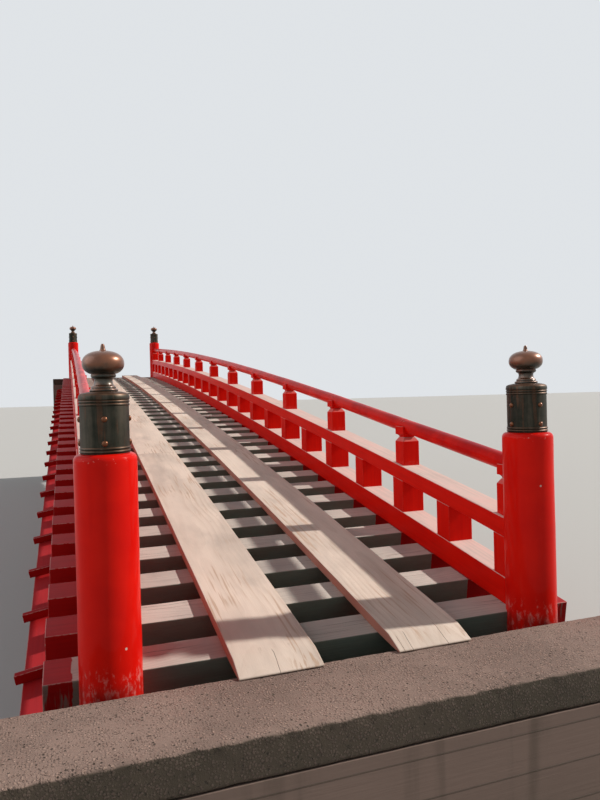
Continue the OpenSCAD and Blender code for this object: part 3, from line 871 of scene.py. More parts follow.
class Layout:
    """Places that the pieces share, worked out from the sizes as the frame does."""

    bottom_rail_h, lower_post_h, middle_rail_h, block_h = 0.138, 0.204, 0.098, 0.178
    saddle_rise, top_rail_r, end_lift = 0.027, 0.045, 0.012
    lower_w, lower_d, block_w, block_d = 0.156, 0.132, 0.118, 0.110
    block_bevel, neck_inset, saddle_margin = 0.028, 0.019, 0.0015
    timber_w, timber_h, reach, timber_start = 0.184, 0.182, 0.256, 0.036
    post_h, sleeve_h, sleeve_r = 0.891, 0.239, 0.0935
    finial_h, bulb_r, bulb_h, nub_h = 0.187, 0.080, 0.089, 0.027
    girder_w, girder_h, inner_x = 0.180, 0.340, 0.352
    plank_w, plank_t, plank_x = 0.360, 0.048, 0.352
    skirt_t, skirt_fall, skirt_reach, skirt_drop = 0.025, math.radians(10.5), 0.106, 0.056
    batten_w, batten_h, batten_reach = 0.034, 0.045, 0.030
    seat, joint, buried = 0.0003, 0.0012, 0.6

    def __init__(self):
        self.sizes = sizes = bpy.context.scene.bridge_sizes
        self.half = sizes.span / 2
        self.line = sizes.rail_spacing / 2
        self.bay = sizes.span / sizes.bays
        self.post_r = (RIGHT_POST[1].x - RIGHT_POST[0].x) / 2
        self.kerb_back = -NEAR_KERB[1].y
        self.middle_z = self.bottom_rail_h + self.lower_post_h
        self.block_z = self.middle_z + self.middle_rail_h
        self.saddle_z = self.block_z + self.block_h
        self.top_rail_z = self.saddle_z + self.saddle_rise + self.top_rail_r
        self.pitch = (sizes.span - 2 * self.timber_start - self.timber_w) / (sizes.timber_count - 1)
        beside_posts = [-self.half + self.post_r, self.half - self.post_r]
        self.block_y = [-self.half + i * self.bay for i in range(1, sizes.bays)] + beside_posts
        clear = (-2 * self.half + self.post_r + self.bay) / 2
        inner_y = [-self.half + i * self.bay / 2 for i in range(2, 2 * sizes.bays - 1)]
        self.lower_y = [clear, *inner_y, -clear] + beside_posts

    def deck(self, y):
        """Height of the timber tops: the climb as a straight line plus the camber as a
        parabola that is zero at both ends."""
        u = (y + self.half) / (2 * self.half)
        base = self.sizes.kerb_level + self.sizes.deck_rise
        return base + self.sizes.climb * u + 4 * self.sizes.camber * u * (1 - u)

    def slope(self, y):
        """How much the deck rises per metre at y."""
        u = (y + self.half) / (2 * self.half)
        return (self.sizes.climb + 4 * self.sizes.camber * (1 - 2 * u)) / (2 * self.half)

    def tilt(self, y):
        """How steep the deck is at y, as an angle."""
        return math.atan(self.slope(y))

    def under(self, y):
        """Height of what bears on the undersides of the timbers."""
        return self.deck(y) - self.timber_h * np.sqrt(1 + self.slope(y) ** 2) - self.seat

    def lift(self, y):
        """What the railing's upper part gains in height near the posts: the end lift, which
        falls to nothing over the end bay."""
        return self.end_lift * np.maximum(0, 1 - (self.half - np.abs(y)) / self.bay)

    def block_top(self, y):
        """Height of the block's level top whose middle stands at y."""
        return self.deck(y) + self.saddle_z + self.lift(y)

    def top_rail(self, y):
        """Height and slope of the top rail's axis, which is straight between blocks."""
        bay = np.clip(np.floor((y + self.half) / self.bay), 0, self.sizes.bays - 1)
        y0 = -self.half + bay * self.bay
        z0, z1 = (self.deck(v) + self.top_rail_z + self.lift(v) for v in (y0, y0 + self.bay))
        slope = (z1 - z0) / self.bay
        return float(z0 + slope * (y - y0)), float(slope)

    def along_deck(self, x, height):
        """Place of a bar that follows the deck at a height above the timber tops."""
        return lambda s, a, b: joined(x + a, s, self.deck(s) + height + b)

    def lengths(self, count):
        """Start and stop of each of count butted lengths of a rail. The first and the last
        run into the posts, down to a share of the posts' radius."""
        end = self.half - self.post_r * self.buried
        return butted(count, self.half, -end, end, self.joint)

    def corners(self):
        """The four round posts: a number, the name of the corner, and x and y."""
        for n, (end, sy) in enumerate(ENDS):
            for m, (side, sx) in enumerate(SIDES):
                yield 2 * n + m, f"{end}_{side}", sx * self.line, sy * self.half


# Pieces


class BRIDGE_OT_timbers(bpy.types.Operator):
    """Lay the cross timbers of the deck, with bare tops and painted ends"""

    bl_idname = "bridge.timbers"
    bl_label = "Deck timbers"
    corner_r, short, seeds = 0.0045, 0.004, (100, 500)

    def execute(self, context):
        lay = Layout()
        count = lay.sizes.timber_count
        third, two_thirds, last = count // 3, 2 * count // 3, count - 1
        groups = {
            "near_end_timber": [0],
            "near_deck_timbers": range(1, third + 1),
            "middle_deck_timbers": range(third + 1, two_thirds + 1),
            "far_deck_timbers": range(two_thirds + 1, last),
            "far_end_timber": [last],
        }
        for node, numbers in groups.items():
            heap = Heap()
            for i in numbers:
                self.timber(heap, lay, i, float(i in (0, last)))
            heap.build(node + "_sawn", timber_finish("weathered_timber"), node, "deck_timber")
        return {"FINISHED"}

    def timber(self, heap, lay, i, last):
        """A bar across the bridge, square to the deck, its ends a little short of true."""
        y = -lay.half + lay.timber_start + lay.timber_w / 2 + i * lay.pitch
        tilt = lay.tilt(y)
        forward = np.array([0, math.cos(tilt), math.sin(tilt)])
        up = np.array([0, -math.sin(tilt), math.cos(tilt)])
        shift = np.random.default_rng(self.seeds[1] + i).uniform(-self.short, 0.0, 2)
        centre = np.array([0, y, lay.deck(y)]) - up * (lay.timber_h / 2)
        place = on_axes(centre, (1, 0, 0), forward, up)
        end, size = lay.line + lay.reach, (lay.timber_w / 2, lay.timber_h / 2, self.corner_r)
        marks = {"spacing": 0.07, "wear": 0.1 * (i % 3 == 1), "extra": last}
        bar(heap, place, -end - shift[0], end + shift[1], *size, self.seeds[0] + i, **marks)


class BRIDGE_OT_planks(bpy.types.Operator):
    """Lay the two walking planks in butted lengths, bevelled where they meet the kerbs"""

    bl_idname = "bridge.planks"
    bl_label = "Walking planks"
    lengths, corner_r, seed = 4, 0.0035, 200
    toe, bevel, tip = 0.050, 0.100, 0.007

    def execute(self, context):
        lay = Layout()
        inner, end = lay.half - lay.timber_start, lay.kerb_back + self.toe
        for side, sign in SIDES:
            heap = Heap()
            place, half_h = between(sign * lay.plank_x, *self.faces(lay, inner, end))
            for i, (y0, y1) in enumerate(butted(self.lengths, inner, -end, end, lay.joint)):
                seed = self.seed + 10 * i + (sign > 0)
                bar(heap, place, y0, y1, lay.plank_w / 2, half_h, self.corner_r, seed, spacing=0.05)
            heap.build(side + "_plank_boards", plank_finish("pale_plank"), side + "_plank", "plank_wood")
        return {"FINISHED"}

    def faces(self, lay, inner, end):
        """The underside follows the timbers and drops to the kerb past the first one; the
        top is bevelled to a thin toe."""
        near, far = lay.sizes.kerb_level, lay.sizes.kerb_level + lay.sizes.climb
        bevel_at = end - self.bevel

        def low(s):
            first = np.interp(s, (-end, -lay.kerb_back, -inner), (near, near, lay.deck(-inner)))
            last = np.interp(s, (inner, lay.kerb_back, end), (lay.deck(inner), far, far))
            return np.where(s < -inner, first, np.where(s > inner, last, lay.deck(s))) + lay.seat

        def high(s):
            share = np.clip((np.abs(s) - bevel_at) / self.bevel, 0, 1)
            start_z = lay.deck(np.sign(s) * bevel_at) + lay.plank_t
            toe_z = np.where(s < 0, near, far) + lay.seat + self.tip
            return np.where(share > 0, start_z * (1 - share) + toe_z * share, lay.deck(s) + lay.plank_t)

        return low, high


class BRIDGE_OT_rails(bpy.types.Operator):
    """Run the bottom and middle rails along both sides"""

    bl_idname = "bridge.rails"
    bl_label = "Bottom and middle rails"
    bottom_w, bays_per_length, seed = 0.160, 4, 300

    def execute(self, context):
        lay = Layout()
        finish = rail_finish("bleached_rail_lacquer", bleach=0.85)
        rails = {
            "bottom_rail": (self.bottom_w, 0.0, lay.bottom_rail_h),
            "middle_rail": (lay.lower_w, lay.middle_z, lay.middle_rail_h),
        }
        for side, sign in SIDES:
            for node, (w, low, h) in rails.items():
                heap = Heap()
                place = lay.along_deck(sign * lay.line, low + h / 2 + lay.seat)
                for i, (y0, y1) in enumerate(lay.lengths(lay.sizes.bays // self.bays_per_length)):
                    seed = self.seed + i + 7 * (sign > 0) + int(900 * low)
                    bar(heap, place, y0, y1, w / 2, h / 2, lay.sizes.arris, seed, wear=0.05)
                heap.build(f"{side}_{node}_bar", finish, f"{side}_{node}", "rail_lacquer")
        return {"FINISHED"}


def set_row(lay, side, sign, name, make, middles, seed):
    """Members of one kind at their places along one side, as one piece."""
    heap = Heap()
    for n, y in enumerate(middles):
        make(heap, lay, sign * lay.line, y, seed + n + 50 * (sign > 0))
    finish = rail_finish("satin_rail_lacquer", rubbing=0.12)
    heap.build(f"{side}_{name}_set", finish, f"{side}_{name}s", "rail_lacquer")


class BRIDGE_OT_supports(bpy.types.Operator):
    """Set the lower posts and the blocks, with halves against the round posts"""

    bl_idname = "bridge.supports"
    bl_label = "Lower posts and blocks"
    lower_r, block_r, seeds = 0.004, 0.003, (400, 520)

    def execute(self, context):
        lay = Layout()
        for side, sign in SIDES:
            set_row(lay, side, sign, "lower_post", self.lower_post, lay.lower_y, self.seeds[0])
            set_row(lay, side, sign, "block", self.block, lay.block_y, self.seeds[1])
        return {"FINISHED"}

    def lower_post(self, heap, lay, x, y, seed):
        """Straight from the bottom rail to the middle rail, with eased edges at both ends."""
        levels = [(0.0, 0.0, 0.0015), (0.0, 0.0015, 0.0), (0.5, 0.0, 0.0)]
        levels += [(1.0, -0.0015, 0.0), (1.0, 0.0, 0.0015)]
        foot, top = (lambda v: lay.deck(v) + lay.bottom_rail_h), (lambda v: lay.deck(v) + lay.middle_z)
        upright(heap, x, y, lay.lower_w / 2, lay.lower_d / 2, foot, top, seed, self.lower_r, levels)

    def block(self, heap, lay, x, y, seed):
        """The level top's four edges are bevelled steeply to the neck under the saddle."""
        bevel, inset = lay.block_bevel, lay.neck_inset
        levels = [(0.0, 0.0, 0.001), (0.0, 0.001, 0.0), (0.5, 0.0, 0.0)]
        levels += [(1.0, -bevel - 0.0020, 0.0), (1.0, -bevel, 0.0004), (1.0, -bevel + 0.0020, 0.0014)]
        levels += [(1.0, -0.0020, inset - 0.0012), (1.0, 0.0, inset + 0.0006)]
        foot, top = (lambda v: lay.deck(v) + lay.block_z), (lambda v: np.full_like(v, lay.block_top(y)))
        upright(heap, x, y, lay.block_w / 2, lay.block_d / 2, foot, top, seed, self.block_r, levels)


class BRIDGE_OT_saddles(bpy.types.Operator):
    """Set the saddles, hollowed on their four sides and bedded round the top rail"""

    bl_idname = "bridge.saddles"
    bl_label = "Saddles"
    corner_r, seed = 0.0025, 600
    closing = (0.985, 0.9, 0.8, 0.7, 0.55, 0.4, 0.2, 0.02)

    def execute(self, context):
        lay = Layout()
        for side, sign in SIDES:
            set_row(lay, side, sign, "saddle", self.saddle, lay.block_y, self.seed)
        return {"FINISHED"}

    def saddle(self, heap, lay, x, y, seed):
        """Rings climb the hollow sides, cross the top edge and close in over the bed, whose
        height is the rail's axis less the root of R squared less x squared."""
        base = lay.block_top(y) + lay.seat
        half_x, half_y = lay.block_w / 2 - lay.saddle_margin, lay.block_d / 2 - lay.saddle_margin
        radius, height, hollow = lay.top_rail_r + lay.seat, lay.saddle_rise + lay.top_rail_r, lay.neck_inset
        axis = lay.top_rail(y)[0]
        slope = (lay.top_rail(y - 0.001)[1] + lay.top_rail(y + 0.001)[1]) / 2
        turn = np.linspace(0, np.pi / 2, 9)
        rise = np.concatenate([hollow * np.sin(turn), [hollow + 0.0008, 0.05, height - 0.002, height]])
        drawn = np.concatenate([hollow * np.cos(turn) + 0.0002, [0.0, 0.0, 0.0, 0.002]])
        drawn[0] += 0.0006
        a, b = rounded_outline(half_x, half_y, self.corner_r, drawn[:, None], steps=4)
        a, b = self.denser(a), self.denser(b)
        closing = np.array(self.closing)[:, None]
        top_a, top_b = a[-1] * closing, b[-1] * closing
        bed = axis + slope * top_b - np.sqrt(np.maximum(radius**2 - top_a**2, 0))
        z = np.broadcast_to(base + rise[:, None], a.shape)
        z = np.concatenate([z, np.minimum(bed, base + height)])
        a, b = np.concatenate([a, top_a]), np.concatenate([b, top_b])
        limit = axis + slope * b - np.sqrt(np.maximum(radius**2 - a**2, 0))
        z = np.where(np.abs(a) < radius, np.minimum(z, limit), z)
        local = joined(z - base - height / 2, a, b)
        heap.add(joined(x + a, y + b, z), local, (height / 2, half_x, half_y), seed)

    @staticmethod
    def denser(rings):
        """Two more points between each pair round a ring, so that the bed curves smoothly."""
        after = np.roll(rings, -1, axis=1)
        thirds = [rings * (1 - k / 3) + after * (k / 3) for k in range(3)]
        return joined(*thirds).reshape(len(rings), -1)


class BRIDGE_OT_top_rails(bpy.types.Operator):
    """Run the round top rails over the saddles in straight butted lengths"""

    bl_idname = "bridge.top_rails"
    bl_label = "Top rails"
    eased, untrue, seed = 0.0012, 0.0005, 700

    def execute(self, context):
        lay = Layout()
        finish = round_rail_finish("round_rail_lacquer")
        for side, sign in SIDES:
            heap = Heap()
            for i, (y0, y1) in enumerate(lay.lengths(lay.sizes.bays)):
                self.length(heap, lay, sign * lay.line, y0, y1, self.seed + i + 20 * (sign > 0))
            heap.build(side + "_top_rail_rounds", finish, side + "_top_rail", "rail_lacquer")
        return {"FINISHED"}

    def length(self, heap, lay, x, y0, y1, seed):
        """A circle of the rail's radius carried along its axis, a little out of true."""
        s, inset = ends_rounded(y0, y1, 0.06, self.eased, steps=2)
        s, inset = s[:, None], inset[:, None]
        angle = round_angles(40)
        z0, z1 = lay.top_rail(y0 + 1e-4)[0], lay.top_rail(y1 - 1e-4)[0]
        fall = (z1 - z0) / (y1 - y0)
        r = lay.top_rail_r - inset + self.untrue * wobble(s * 6 + angle * 2, seed)
        a, b = r * np.cos(angle), r * np.sin(angle) * math.hypot(1.0, fall)
        points = joined(x + a, s, z0 + fall * (s - y0) + b)
        heap.add(points, joined(s - (y0 + y1) / 2, a, b), ((y1 - y0) / 2, 0, 0), seed)


class BRIDGE_OT_posts(bpy.types.Operator):
    """Stand the four round posts with their rounded shoulders"""

    bl_idname = "bridge.posts"
    bl_label = "Round posts"
    shoulder, sway, tenon, seeds = 0.026, 0.0007, (0.084, 0.082), (800, 810)

    def execute(self, context):
        lay = Layout()
        finish = post_finish("glossy_post_lacquer")
        for n, corner, x, y in lay.corners():
            node = corner + "_post"
            foot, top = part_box(node)[0].z, lay.deck(y) + lay.post_h
            kerb = lay.sizes.kerb_level + (lay.sizes.climb if y > 0 else 0.0)
            heap = Heap()
            profile = self.profile(lay.post_r, foot, top, self.seeds[0] + n)
            turned(heap, x, y, kerb, profile - (0, kerb), self.seeds[1] + n)
            heap.build(node + "_round", finish, node, "post_lacquer")
        return {"FINISHED"}

    def profile(self, post_r, foot, top, seed):
        """A straight post, a little out of true, and a quarter circle as its shoulder."""
        z = np.linspace(foot + 0.002, top - self.shoulder, 60)
        z = np.concatenate([[foot + 0.0005], z])
        r = post_r - np.where(z < foot + 0.001, 0.002, 0.0) + self.sway * wobble(z, seed, 7.0)
        angle = np.linspace(0, np.pi / 2, 9)[1:]
        arc_r = post_r - self.shoulder + self.shoulder * np.cos(angle)
        arc_z = top - self.shoulder + self.shoulder * np.sin(angle)
        ends = [top, top + 0.002]
        return joined(np.concatenate([r, arc_r, self.tenon]), np.concatenate([z, arc_z, ends]))


class BRIDGE_OT_bronze(bpy.types.Operator):
    """Fit the bronze sleeves with their bands and rivets, and the onion finials"""

    bl_idname = "bridge.bronze"
    bl_label = "Sleeves and finials"
    seed, sleeve_rub, neck_r, rub_from, least_rub = 900, 0.6, 0.042, 0.1, 0.55
    low_bands, high_bands, band_r, band_sunk = (0.008, 0.020), (0.051, 0.039), 0.0052, 0.002
    bulb_middle, bulb_below, bulb_above, bulb_power = 0.43, 0.54, 0.57, 0.88
    rivet_r, rivet_rise, rivet_rim, rivet_heights = 0.0120, 0.0090, 0.0932, (0.041, 0.133)
    rivet_turn = {"near_left": math.radians(-3.5), "near_right": math.radians(2.7)}
    ring = (
        (0.0, 0.033), (0.0024, 0.0315), (0.0035, 0.0250), (0.0028, 0.0180), (-0.0005, 0.0105),
        (-0.0080, 0.0062), (-0.0200, 0.0032), (-0.0340, 0.0004),
    )
    collars = (
        (0.640, 0.0), (0.672, 0.02), (0.680, 0.06), (0.665, 0.125), (0.600, 0.150), (0.572, 0.165),
        (0.586, 0.210), (0.560, 0.28), (0.480, 0.36), (0.440, 0.47), (0.430, 0.58), (0.450, 0.69),
        (0.520, 0.745), (0.580, 0.80), (0.600, 0.865), (0.592, 0.93), (0.565, 0.975),
    )
    nub = (
        (0.0138, 0.02), (0.0108, 0.15), (0.0092, 0.4), (0.0080, 0.65), (0.0062, 0.88),
        (0.0032, 0.99), (0.0006, 1.0),
    )

    def execute(self, context):
        lay = Layout()
        dark, warm = bronze_finish("dark_bronze"), bronze_finish("warm_bronze", warm=True)
        for n, corner, x, y in lay.corners():
            foot, seed = lay.deck(y) + lay.post_h + lay.seat, self.seed + n
            heap = Heap()
            profile, proud = self.sleeve_profile(lay)
            turned(heap, x, y, foot, profile, seed, proud)
            first = self.rivet_turn.get(corner, 0.0)
            for h in self.rivet_heights:
                for quarter in range(4):
                    self.rivet(heap, x, y, foot + h, first + quarter * math.pi / 2, seed)
            heap.build(corner + "_sleeve_cast", dark, corner + "_sleeve", "bronze_sleeve")
            heap = Heap()
            profile, proud = self.finial_profile(lay)
            turned(heap, x, y, foot + lay.sleeve_h + lay.seat, profile, seed + 20, proud)
            heap.build(corner + "_finial_cast", warm, corner + "_finial", "bronze_finial")
        return {"FINISHED"}

    def sleeve_profile(self, lay):
        """A straight wall whose bands stand out as a circle does from a chord, a tall rounded
        ring at the top and a slope in to the finial."""
        r, height = lay.sleeve_r, lay.sleeve_h
        h = np.linspace(0.0, height - self.ring[0][1], 190)
        bulge = np.zeros_like(h)
        for centre in (*self.low_bands, *(height - below for below in self.high_bands)):
            arc = np.sqrt(np.maximum(self.band_r**2 - (h - centre) ** 2, 0))
            bulge = np.maximum(bulge, arc - self.band_sunk)
        ring = smooth_profile([(r + out, height - below) for out, below in self.ring], 0.0012)[1:]
        foot = [(r - 0.0040, 0.0008), (r - 0.001, 0.0)]
        cap = [(r - 0.040, height), (r - 0.046, height - 0.001)]
        profile = np.concatenate([foot, joined(r + bulge, h), ring, cap])
        ring_proud = np.clip((ring[:, 0] - r + 0.001) / 0.0045, 0.3, 1)
        proud = np.concatenate([[0, 0], bulge / (self.band_r - self.band_sunk), ring_proud, [0.2, 0.2]])
        return profile, self.sleeve_rub * proud

    def finial_profile(self, lay):
        """Collars, a waist, a ring, a flattened bulb and a small tip. The foot's points are
        shares of the bulb's radius and of the foot's height; the bulb's radius is the cosine
        of an angle, and its height the sine, both to a power a little under one."""
        r, foot = lay.bulb_r, lay.finial_h - lay.nub_h - lay.bulb_h
        middle_h, top = foot + self.bulb_middle * lay.bulb_h, lay.finial_h - lay.nub_h
        power = self.bulb_power
        angle = np.radians(np.arange(-52, 80, 6))
        rise = lay.bulb_h * np.sign(angle) * np.abs(np.sin(angle)) ** power
        share = np.where(angle < 0, self.bulb_below, self.bulb_above)
        bulb = (r * np.cos(angle) ** power, middle_h + share * rise)
        outline = [*(np.array(self.collars) * (r, foot)), *joined(*bulb)]
        outline += [*(np.array(self.nub) * (1, lay.nub_h) + (0, top))]
        profile = smooth_profile(outline, 0.0016)
        profile[:, 0] = np.maximum(profile[:, 0], 0.0005)
        proud = np.clip((profile[:, 0] - self.neck_r) / (r - self.neck_r), 0, 1)
        return profile, np.where(profile[:, 1] > self.rub_from, np.maximum(proud, self.least_rub), proud)

    def rivet(self, heap, x, y, z, turn, seed):
        """A low dome on a thin rim, its axis pointing out of the sleeve."""
        angle, rise = round_angles(20), np.linspace(0, np.pi / 2, 6)[:-1, None]
        out = np.concatenate([[[-0.003]], self.rivet_rise * np.sin(rise), [[self.rivet_rise]]])
        r = self.rivet_r * np.concatenate([[[1.0]], np.cos(rise), [[0.06]]])
        side, up = r * np.cos(angle), r * np.sin(angle)
        forward = self.rivet_rim + out
        px = x + forward * math.cos(turn) - side * math.sin(turn)
        py = y + forward * math.sin(turn) + side * math.cos(turn)
        points = joined(px, py, z + up)
        heap.add(points, points - (x, y, z - 0.1), (0.9, 0, 0), seed)


class BRIDGE_OT_skirts(bpy.types.Operator):
    """Hang the skirt boards under the timber ends, with battens over their joints"""

    bl_idname = "bridge.skirts"
    bl_label = "Skirts"
    play, board_r, batten_r, seeds = 0.008, 0.003, 0.0025, (1000, 1200)

    def execute(self, context):
        lay = Layout()
        boards = old_red_finish("sheltered_old_red", sheltered=True)
        battens = old_red_finish("old_red_lacquer")
        fall, count, thick = lay.skirt_fall, 2 * lay.sizes.bays, lay.skirt_t
        x0 = lay.line + lay.girder_w / 2 + thick * math.sin(fall) + lay.seat
        width = (lay.line + lay.reach + lay.skirt_reach - x0) / math.cos(fall)
        depth = width * math.sin(fall) + thick * math.cos(fall)
        near = -lay.kerb_back + self.play
        far = lay.kerb_back - self.play - depth * math.sin(lay.tilt(lay.half))
        start = max(0.0, lay.batten_h + 0.003 - lay.skirt_drop) / math.sin(fall) / math.cos(fall)
        stop = width + lay.batten_reach
        half_w, half_h = lay.batten_w / 2, lay.batten_h / 2
        for side, sign in SIDES:
            seeds = [seed + 60 * (sign > 0) for seed in self.seeds]
            heap = Heap()
            for i, (y0, y1) in enumerate(butted(count, lay.half, near, far, 2 * lay.joint)):
                place, run = self.on_skirt(lay, sign, x0, (y0 + y1) / 2, y1 - y0)
                lift = lambda s, a, b, place=place: place(s, a + width / 2, b - thick / 2)
                size = (width / 2, thick / 2, self.board_r)
                bar(heap, lift, -run / 2, run / 2, *size, seeds[0] + i, spacing=0.1, wear=0.1)
            heap.build(side + "_skirt_board_set", boards, side + "_skirt_boards", "skirt_paint")
            heap = Heap()
            for i in range(1, count):
                place, _ = self.on_skirt(lay, sign, x0, -lay.half + i * lay.bay / 2, 0.0)
                lift = lambda s, a, b, place=place: place(a, s, b + half_h + 2 * lay.seat)
                size = (half_w, half_h, self.batten_r)
                bar(heap, lift, start, stop, *size, seeds[1] + i, spacing=0.04, wear=0.15)
            heap.build(side + "_batten_set", battens, side + "_skirt_battens", "skirt_paint")
        return {"FINISHED"}

    @staticmethod
    def on_skirt(lay, sign, x0, y, run):
        """Place on a skirt: along the slope, outwards down its fall, and square to both.
        Also gives the run along y as a length along the slope."""
        tilt = lay.tilt(y)
        origin = np.array([sign * x0, y, float(lay.under(y)) - lay.skirt_drop])
        turns = Matrix.Rotation(tilt, 3, "X"), Matrix.Rotation(sign * lay.skirt_fall, 3, "Y")
        across, along, up = (np.array(turns[0]) @ np.array(turns[1])).T
        return on_axes(origin, along, across * sign, up), run / math.cos(tilt)


class BRIDGE_OT_girders(bpy.types.Operator):
    """Set the four girders and the ties between them"""

    bl_idname = "bridge.girders"
    bl_label = "Girders and ties"
    beam_r, tie, tie_r, tie_rows = 0.006, 0.120, 0.004, 5
    clear, seat_l, seeds = 0.005, 0.400, (1400, 1450)

    def execute(self, context):
        lay = Layout()
        finish = old_red_finish("old_red_lacquer")
        end = lay.half - lay.post_r - self.clear
        seat_end = end - self.seat_l
        near, far = (float(lay.under(y)) - lay.girder_h + lay.seat for y in (-seat_end, seat_end))

        def low(s):
            z = lay.under(s) - lay.girder_h
            return np.where(s < -seat_end, near, np.where(s > seat_end, far, z))

        beams = {
            "left_girder": -lay.line, "inner_left_girder": -lay.inner_x,
            "inner_right_girder": lay.inner_x, "right_girder": lay.line,
        }
        half_w = lay.girder_w / 2
        for n, (node, x) in enumerate(beams.items()):
            heap = Heap()
            place, half_h = between(x, low, lay.under)
            bar(heap, place, -end, end, half_w, half_h, self.beam_r, self.seeds[0] + n, spacing=0.1)
            heap.build(node + "_beam", finish, node, "girder_paint")
        heap = Heap()
        middles = list(beams.values())
        gap = half_w + lay.seat
        for i in range(1, self.tie_rows + 1):
            y = -seat_end + 2 * seat_end * i / (self.tie_rows + 1)
            z = float(lay.under(y)) - lay.girder_h / 2
            place = lambda s, a, b, y=y, z=z: joined(s, y + a, z + b)
            for k, (left, right) in enumerate(zip(middles, middles[1:])):
                seed = self.seeds[1] + 3 * i + k
                bar(heap, place, left + gap, right - gap, self.tie / 2, self.tie / 2, self.tie_r, seed)
        heap.build("girder_tie_set", finish, "girder_ties", "girder_paint")
        return {"FINISHED"}


class BRIDGE_OT_kerbs(bpy.types.Operator):
    """Cast the worn kerbs and finish the abutments under them"""

    bl_idname = "bridge.kerbs"
    bl_label = "Kerbs and abutments"
    spacing, end_r, worn_r, edge_r, seed = 0.014, 0.012, 0.016, 0.035, 1500
    lumps = ((0.0015, 0.11), (0.0010, 0.034), (0.0007, 0.015))
    sunk, edge_sunk, edge_lumps, squareness = 0.0012, 0.0040, 3.0, 7

    def execute(self, context):
        finish = concrete_finish("aggregate_concrete")
        for n, (box, (end, outward)) in enumerate(zip((NEAR_KERB, FAR_KERB), ENDS)):
            heap = Heap()
            self.kerb(heap, box, self.seed + n, outward)
            heap.build(end + "_kerb_cast", finish, end + "_kerb", "kerb_concrete")
            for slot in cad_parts[end + "_abutment"].material_slots:
                slot.material = wall_finish("board_marked_concrete")
        return {"FINISHED"}

    def kerb(self, heap, box, seed, outward):
        """A box with many rings, its top edges rounded, moved in by lumps of three depths
        and sizes that bite deeper at the outward edge."""
        low, high = np.array(box[0]), np.array(box[1])
        centre, half = (low + high) / 2, (high - low) / 2
        s, inset = ends_rounded(-half[0], half[0], self.spacing, self.end_r, steps=4)
        a, b = self.filled(*rounded_outline(half[1] - 0.002, half[2] - 0.001, self.worn_r, steps=6))
        a = a[None, :] * (1 - inset[:, None] / half[1])
        b = b[None, :] * (1 - inset[:, None] / half[2])
        points = joined(s[:, None], a, b) + centre
        edge = np.exp(-((half[1] - outward * a) ** 2 + (half[2] - b) ** 2) / self.edge_r**2)
        bite = sum(deep * lumps(points, size, seed + k) for k, (deep, size) in enumerate(self.lumps))
        bite = bite * (1 + self.edge_lumps * edge) - self.sunk - self.edge_sunk * edge
        inward = joined(0.0, a / half[1], b / half[2])
        inward = np.abs(inward) ** self.squareness * np.sign(inward)
        inward /= np.maximum(np.linalg.norm(inward, axis=-1, keepdims=True), 1e-6)
        heap.add(points + inward * np.minimum(bite, 0.0)[..., None], points - centre, half, seed)

    def filled(self, a, b):
        """Points about every spacing along the straight sides of an outline."""
        corners = joined(np.ravel(a), np.ravel(b))
        out = []
        for here, there in zip(corners, np.roll(corners, -1, axis=0)):
            n = max(1, int(round(math.hypot(*(there - here)) / self.spacing)))
            out.append(here + (there - here) * (np.arange(n) / n)[:, None])
        return np.concatenate(out).T


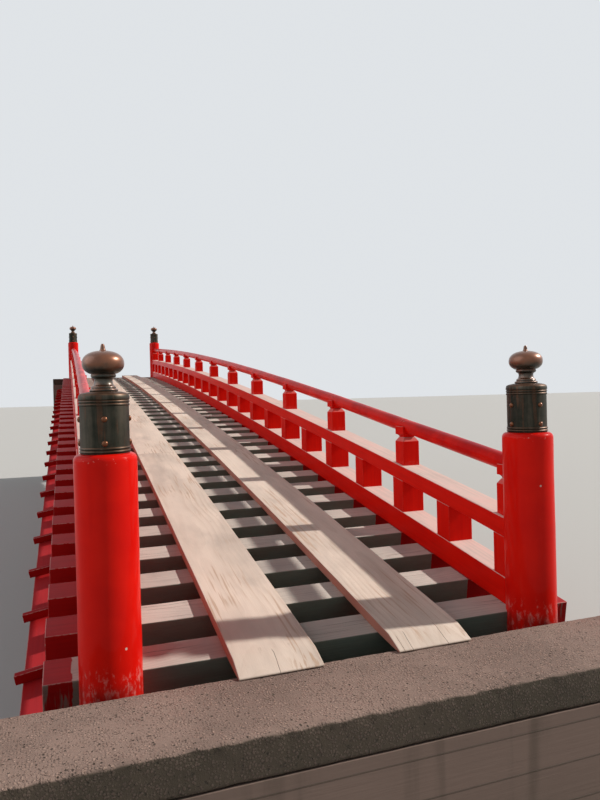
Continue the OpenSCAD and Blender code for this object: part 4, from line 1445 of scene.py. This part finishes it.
class BRIDGE_OT_stage(bpy.types.Operator):
    """Lay the pale floor, set the lamps and aim the camera as in the photograph"""

    bl_idname = "bridge.stage"
    bl_label = "Stage"
    focal_px, image_h, sensor = 648.44, 800, 36.0
    yaw, pitch, roll = math.radians(19.581), math.radians(-0.276), math.radians(-1.4185)
    eye = (-1.128, -2.644, 1.103)
    backdrop, ambient = 0.80, 0.16
    floor_half, far_clip = 400.0, 1000.0
    lamps = {
        "key": ((0.93, -0.094, 0.627), 3.8, 1.5, (1.0, 0.95, 0.88)),
        "fill": ((-0.88, 0.10, 0.46), 0.95, 60, (0.95, 0.97, 1.0)),
    }

    def execute(self, context):
        self.floor()
        self.studio(context.scene)
        for name, (toward, strength, width, tint) in self.lamps.items():
            self.lamp(name, toward, strength, width, tint)
        self.camera(context.scene)
        return {"FINISHED"}

    def floor(self):
        """A wide square."""
        mesh, far = bpy.data.meshes.new("floor"), self.floor_half
        mesh.from_pydata([(-far, -far, 0), (far, -far, 0), (far, far, 0), (-far, far, 0)], [], [range(4)])
        finish = Finish("pale_floor", Roughness=0.9, Base_Color=(0.56, 0.555, 0.54))
        mesh.materials.append(finish.material)
        floor = put("floor", mesh)

    def studio(self, scene):
        """A pale backdrop that the camera and shiny pieces see, and a weaker light from all
        round: the strength is the ambient one, plus the rest where such a ray looks."""
        scene.world = bpy.data.worlds.new("studio")
        scene.world.use_nodes = True
        nodes = Nodes(scene.world.node_tree)
        rays = ("Is Camera Ray", "Is Glossy Ray", "Is Transmission Ray")
        camera, glossy, through = (nodes.node("LightPath", output=ray) for ray in rays)
        seen = camera.most(glossy).most(through)
        strength = seen.maths("MULTIPLY_ADD", self.backdrop - self.ambient, self.ambient)
        background = nodes.tree.nodes["Background"]
        nodes.feed(background.inputs["Strength"], strength)
        nodes.feed(background.inputs["Color"], (0.93, 0.965, 1.0))

    def lamp(self, name, toward, strength, width, tint):
        """A distant lamp in the direction toward, its disc width degrees across: the key
        stands on the right, and the wide fill on the left."""
        sun = bpy.data.lights.new(name, "SUN")
        sun.energy = strength
        sun.angle = math.radians(width)
        sun.color = tint
        put(name, sun).rotation_euler = Vector(toward).normalized().to_track_quat("Z", "Y").to_euler()

    def camera(self, scene):
        """Looks along (sin yaw cos pitch, cos yaw cos pitch, sin pitch), rolled about that."""
        lay = Layout()
        data = bpy.data.cameras.new("camera")
        data.sensor_width = self.sensor
        data.lens = self.focal_px / self.image_h * self.sensor
        data.clip_end = self.far_clip
        camera = put("camera", data)
        sin_yaw, cos_yaw, level = math.sin(self.yaw), math.cos(self.yaw), math.cos(self.pitch)
        forward = Vector((sin_yaw * level, cos_yaw * level, math.sin(self.pitch)))
        right = Vector((cos_yaw, -sin_yaw, 0))
        up = right.cross(forward)
        sin_roll, cos_roll = math.sin(self.roll), math.cos(self.roll)
        axes = (right * cos_roll + up * sin_roll, up * cos_roll - right * sin_roll, -forward)
        place = Vector(self.eye) + Vector((0, -lay.half, lay.sizes.kerb_level))
        camera.matrix_world = Matrix.Translation(place) @ Matrix(axes).transposed().to_4x4()
        scene.camera = camera
        scene.view_settings.view_transform = "Standard"


class BRIDGE_PT_panel(bpy.types.Panel):
    """Lists the operators and settings of the footbridge"""

    bl_idname = "BRIDGE_PT_panel"
    bl_label = "Footbridge"
    bl_space_type = "VIEW_3D"
    bl_region_type = "UI"
    bl_category = "Bridge"

    def draw(self, context):
        for operator in OPERATORS:
            self.layout.operator(operator.bl_idname)
        for name in GROUPS:
            group = getattr(context.scene, name)
            for key in group.bl_rna.properties.keys():
                if key not in ("rna_type", "name"):
                    self.layout.prop(group, key)


OPERATORS = (
    BRIDGE_OT_kerbs,
    BRIDGE_OT_girders,
    BRIDGE_OT_timbers,
    BRIDGE_OT_planks,
    BRIDGE_OT_skirts,
    BRIDGE_OT_rails,
    BRIDGE_OT_supports,
    BRIDGE_OT_saddles,
    BRIDGE_OT_top_rails,
    BRIDGE_OT_posts,
    BRIDGE_OT_bronze,
    BRIDGE_OT_stage,
)
CLASSES = (*GROUPS.values(), *OPERATORS, BRIDGE_PT_panel)


def register():
    for item in CLASSES:
        bpy.utils.register_class(item)
    for name, group in GROUPS.items():
        setattr(bpy.types.Scene, name, PointerProperty(type=group))


def unregister():
    for name in GROUPS:
        delattr(bpy.types.Scene, name)
    for item in reversed(CLASSES):
        bpy.utils.unregister_class(item)


def main():
    register()
    for operator in OPERATORS:
        group, name = operator.bl_idname.split(".")
        getattr(getattr(bpy.ops, group), name)()


if __name__ == "__main__":
    main()
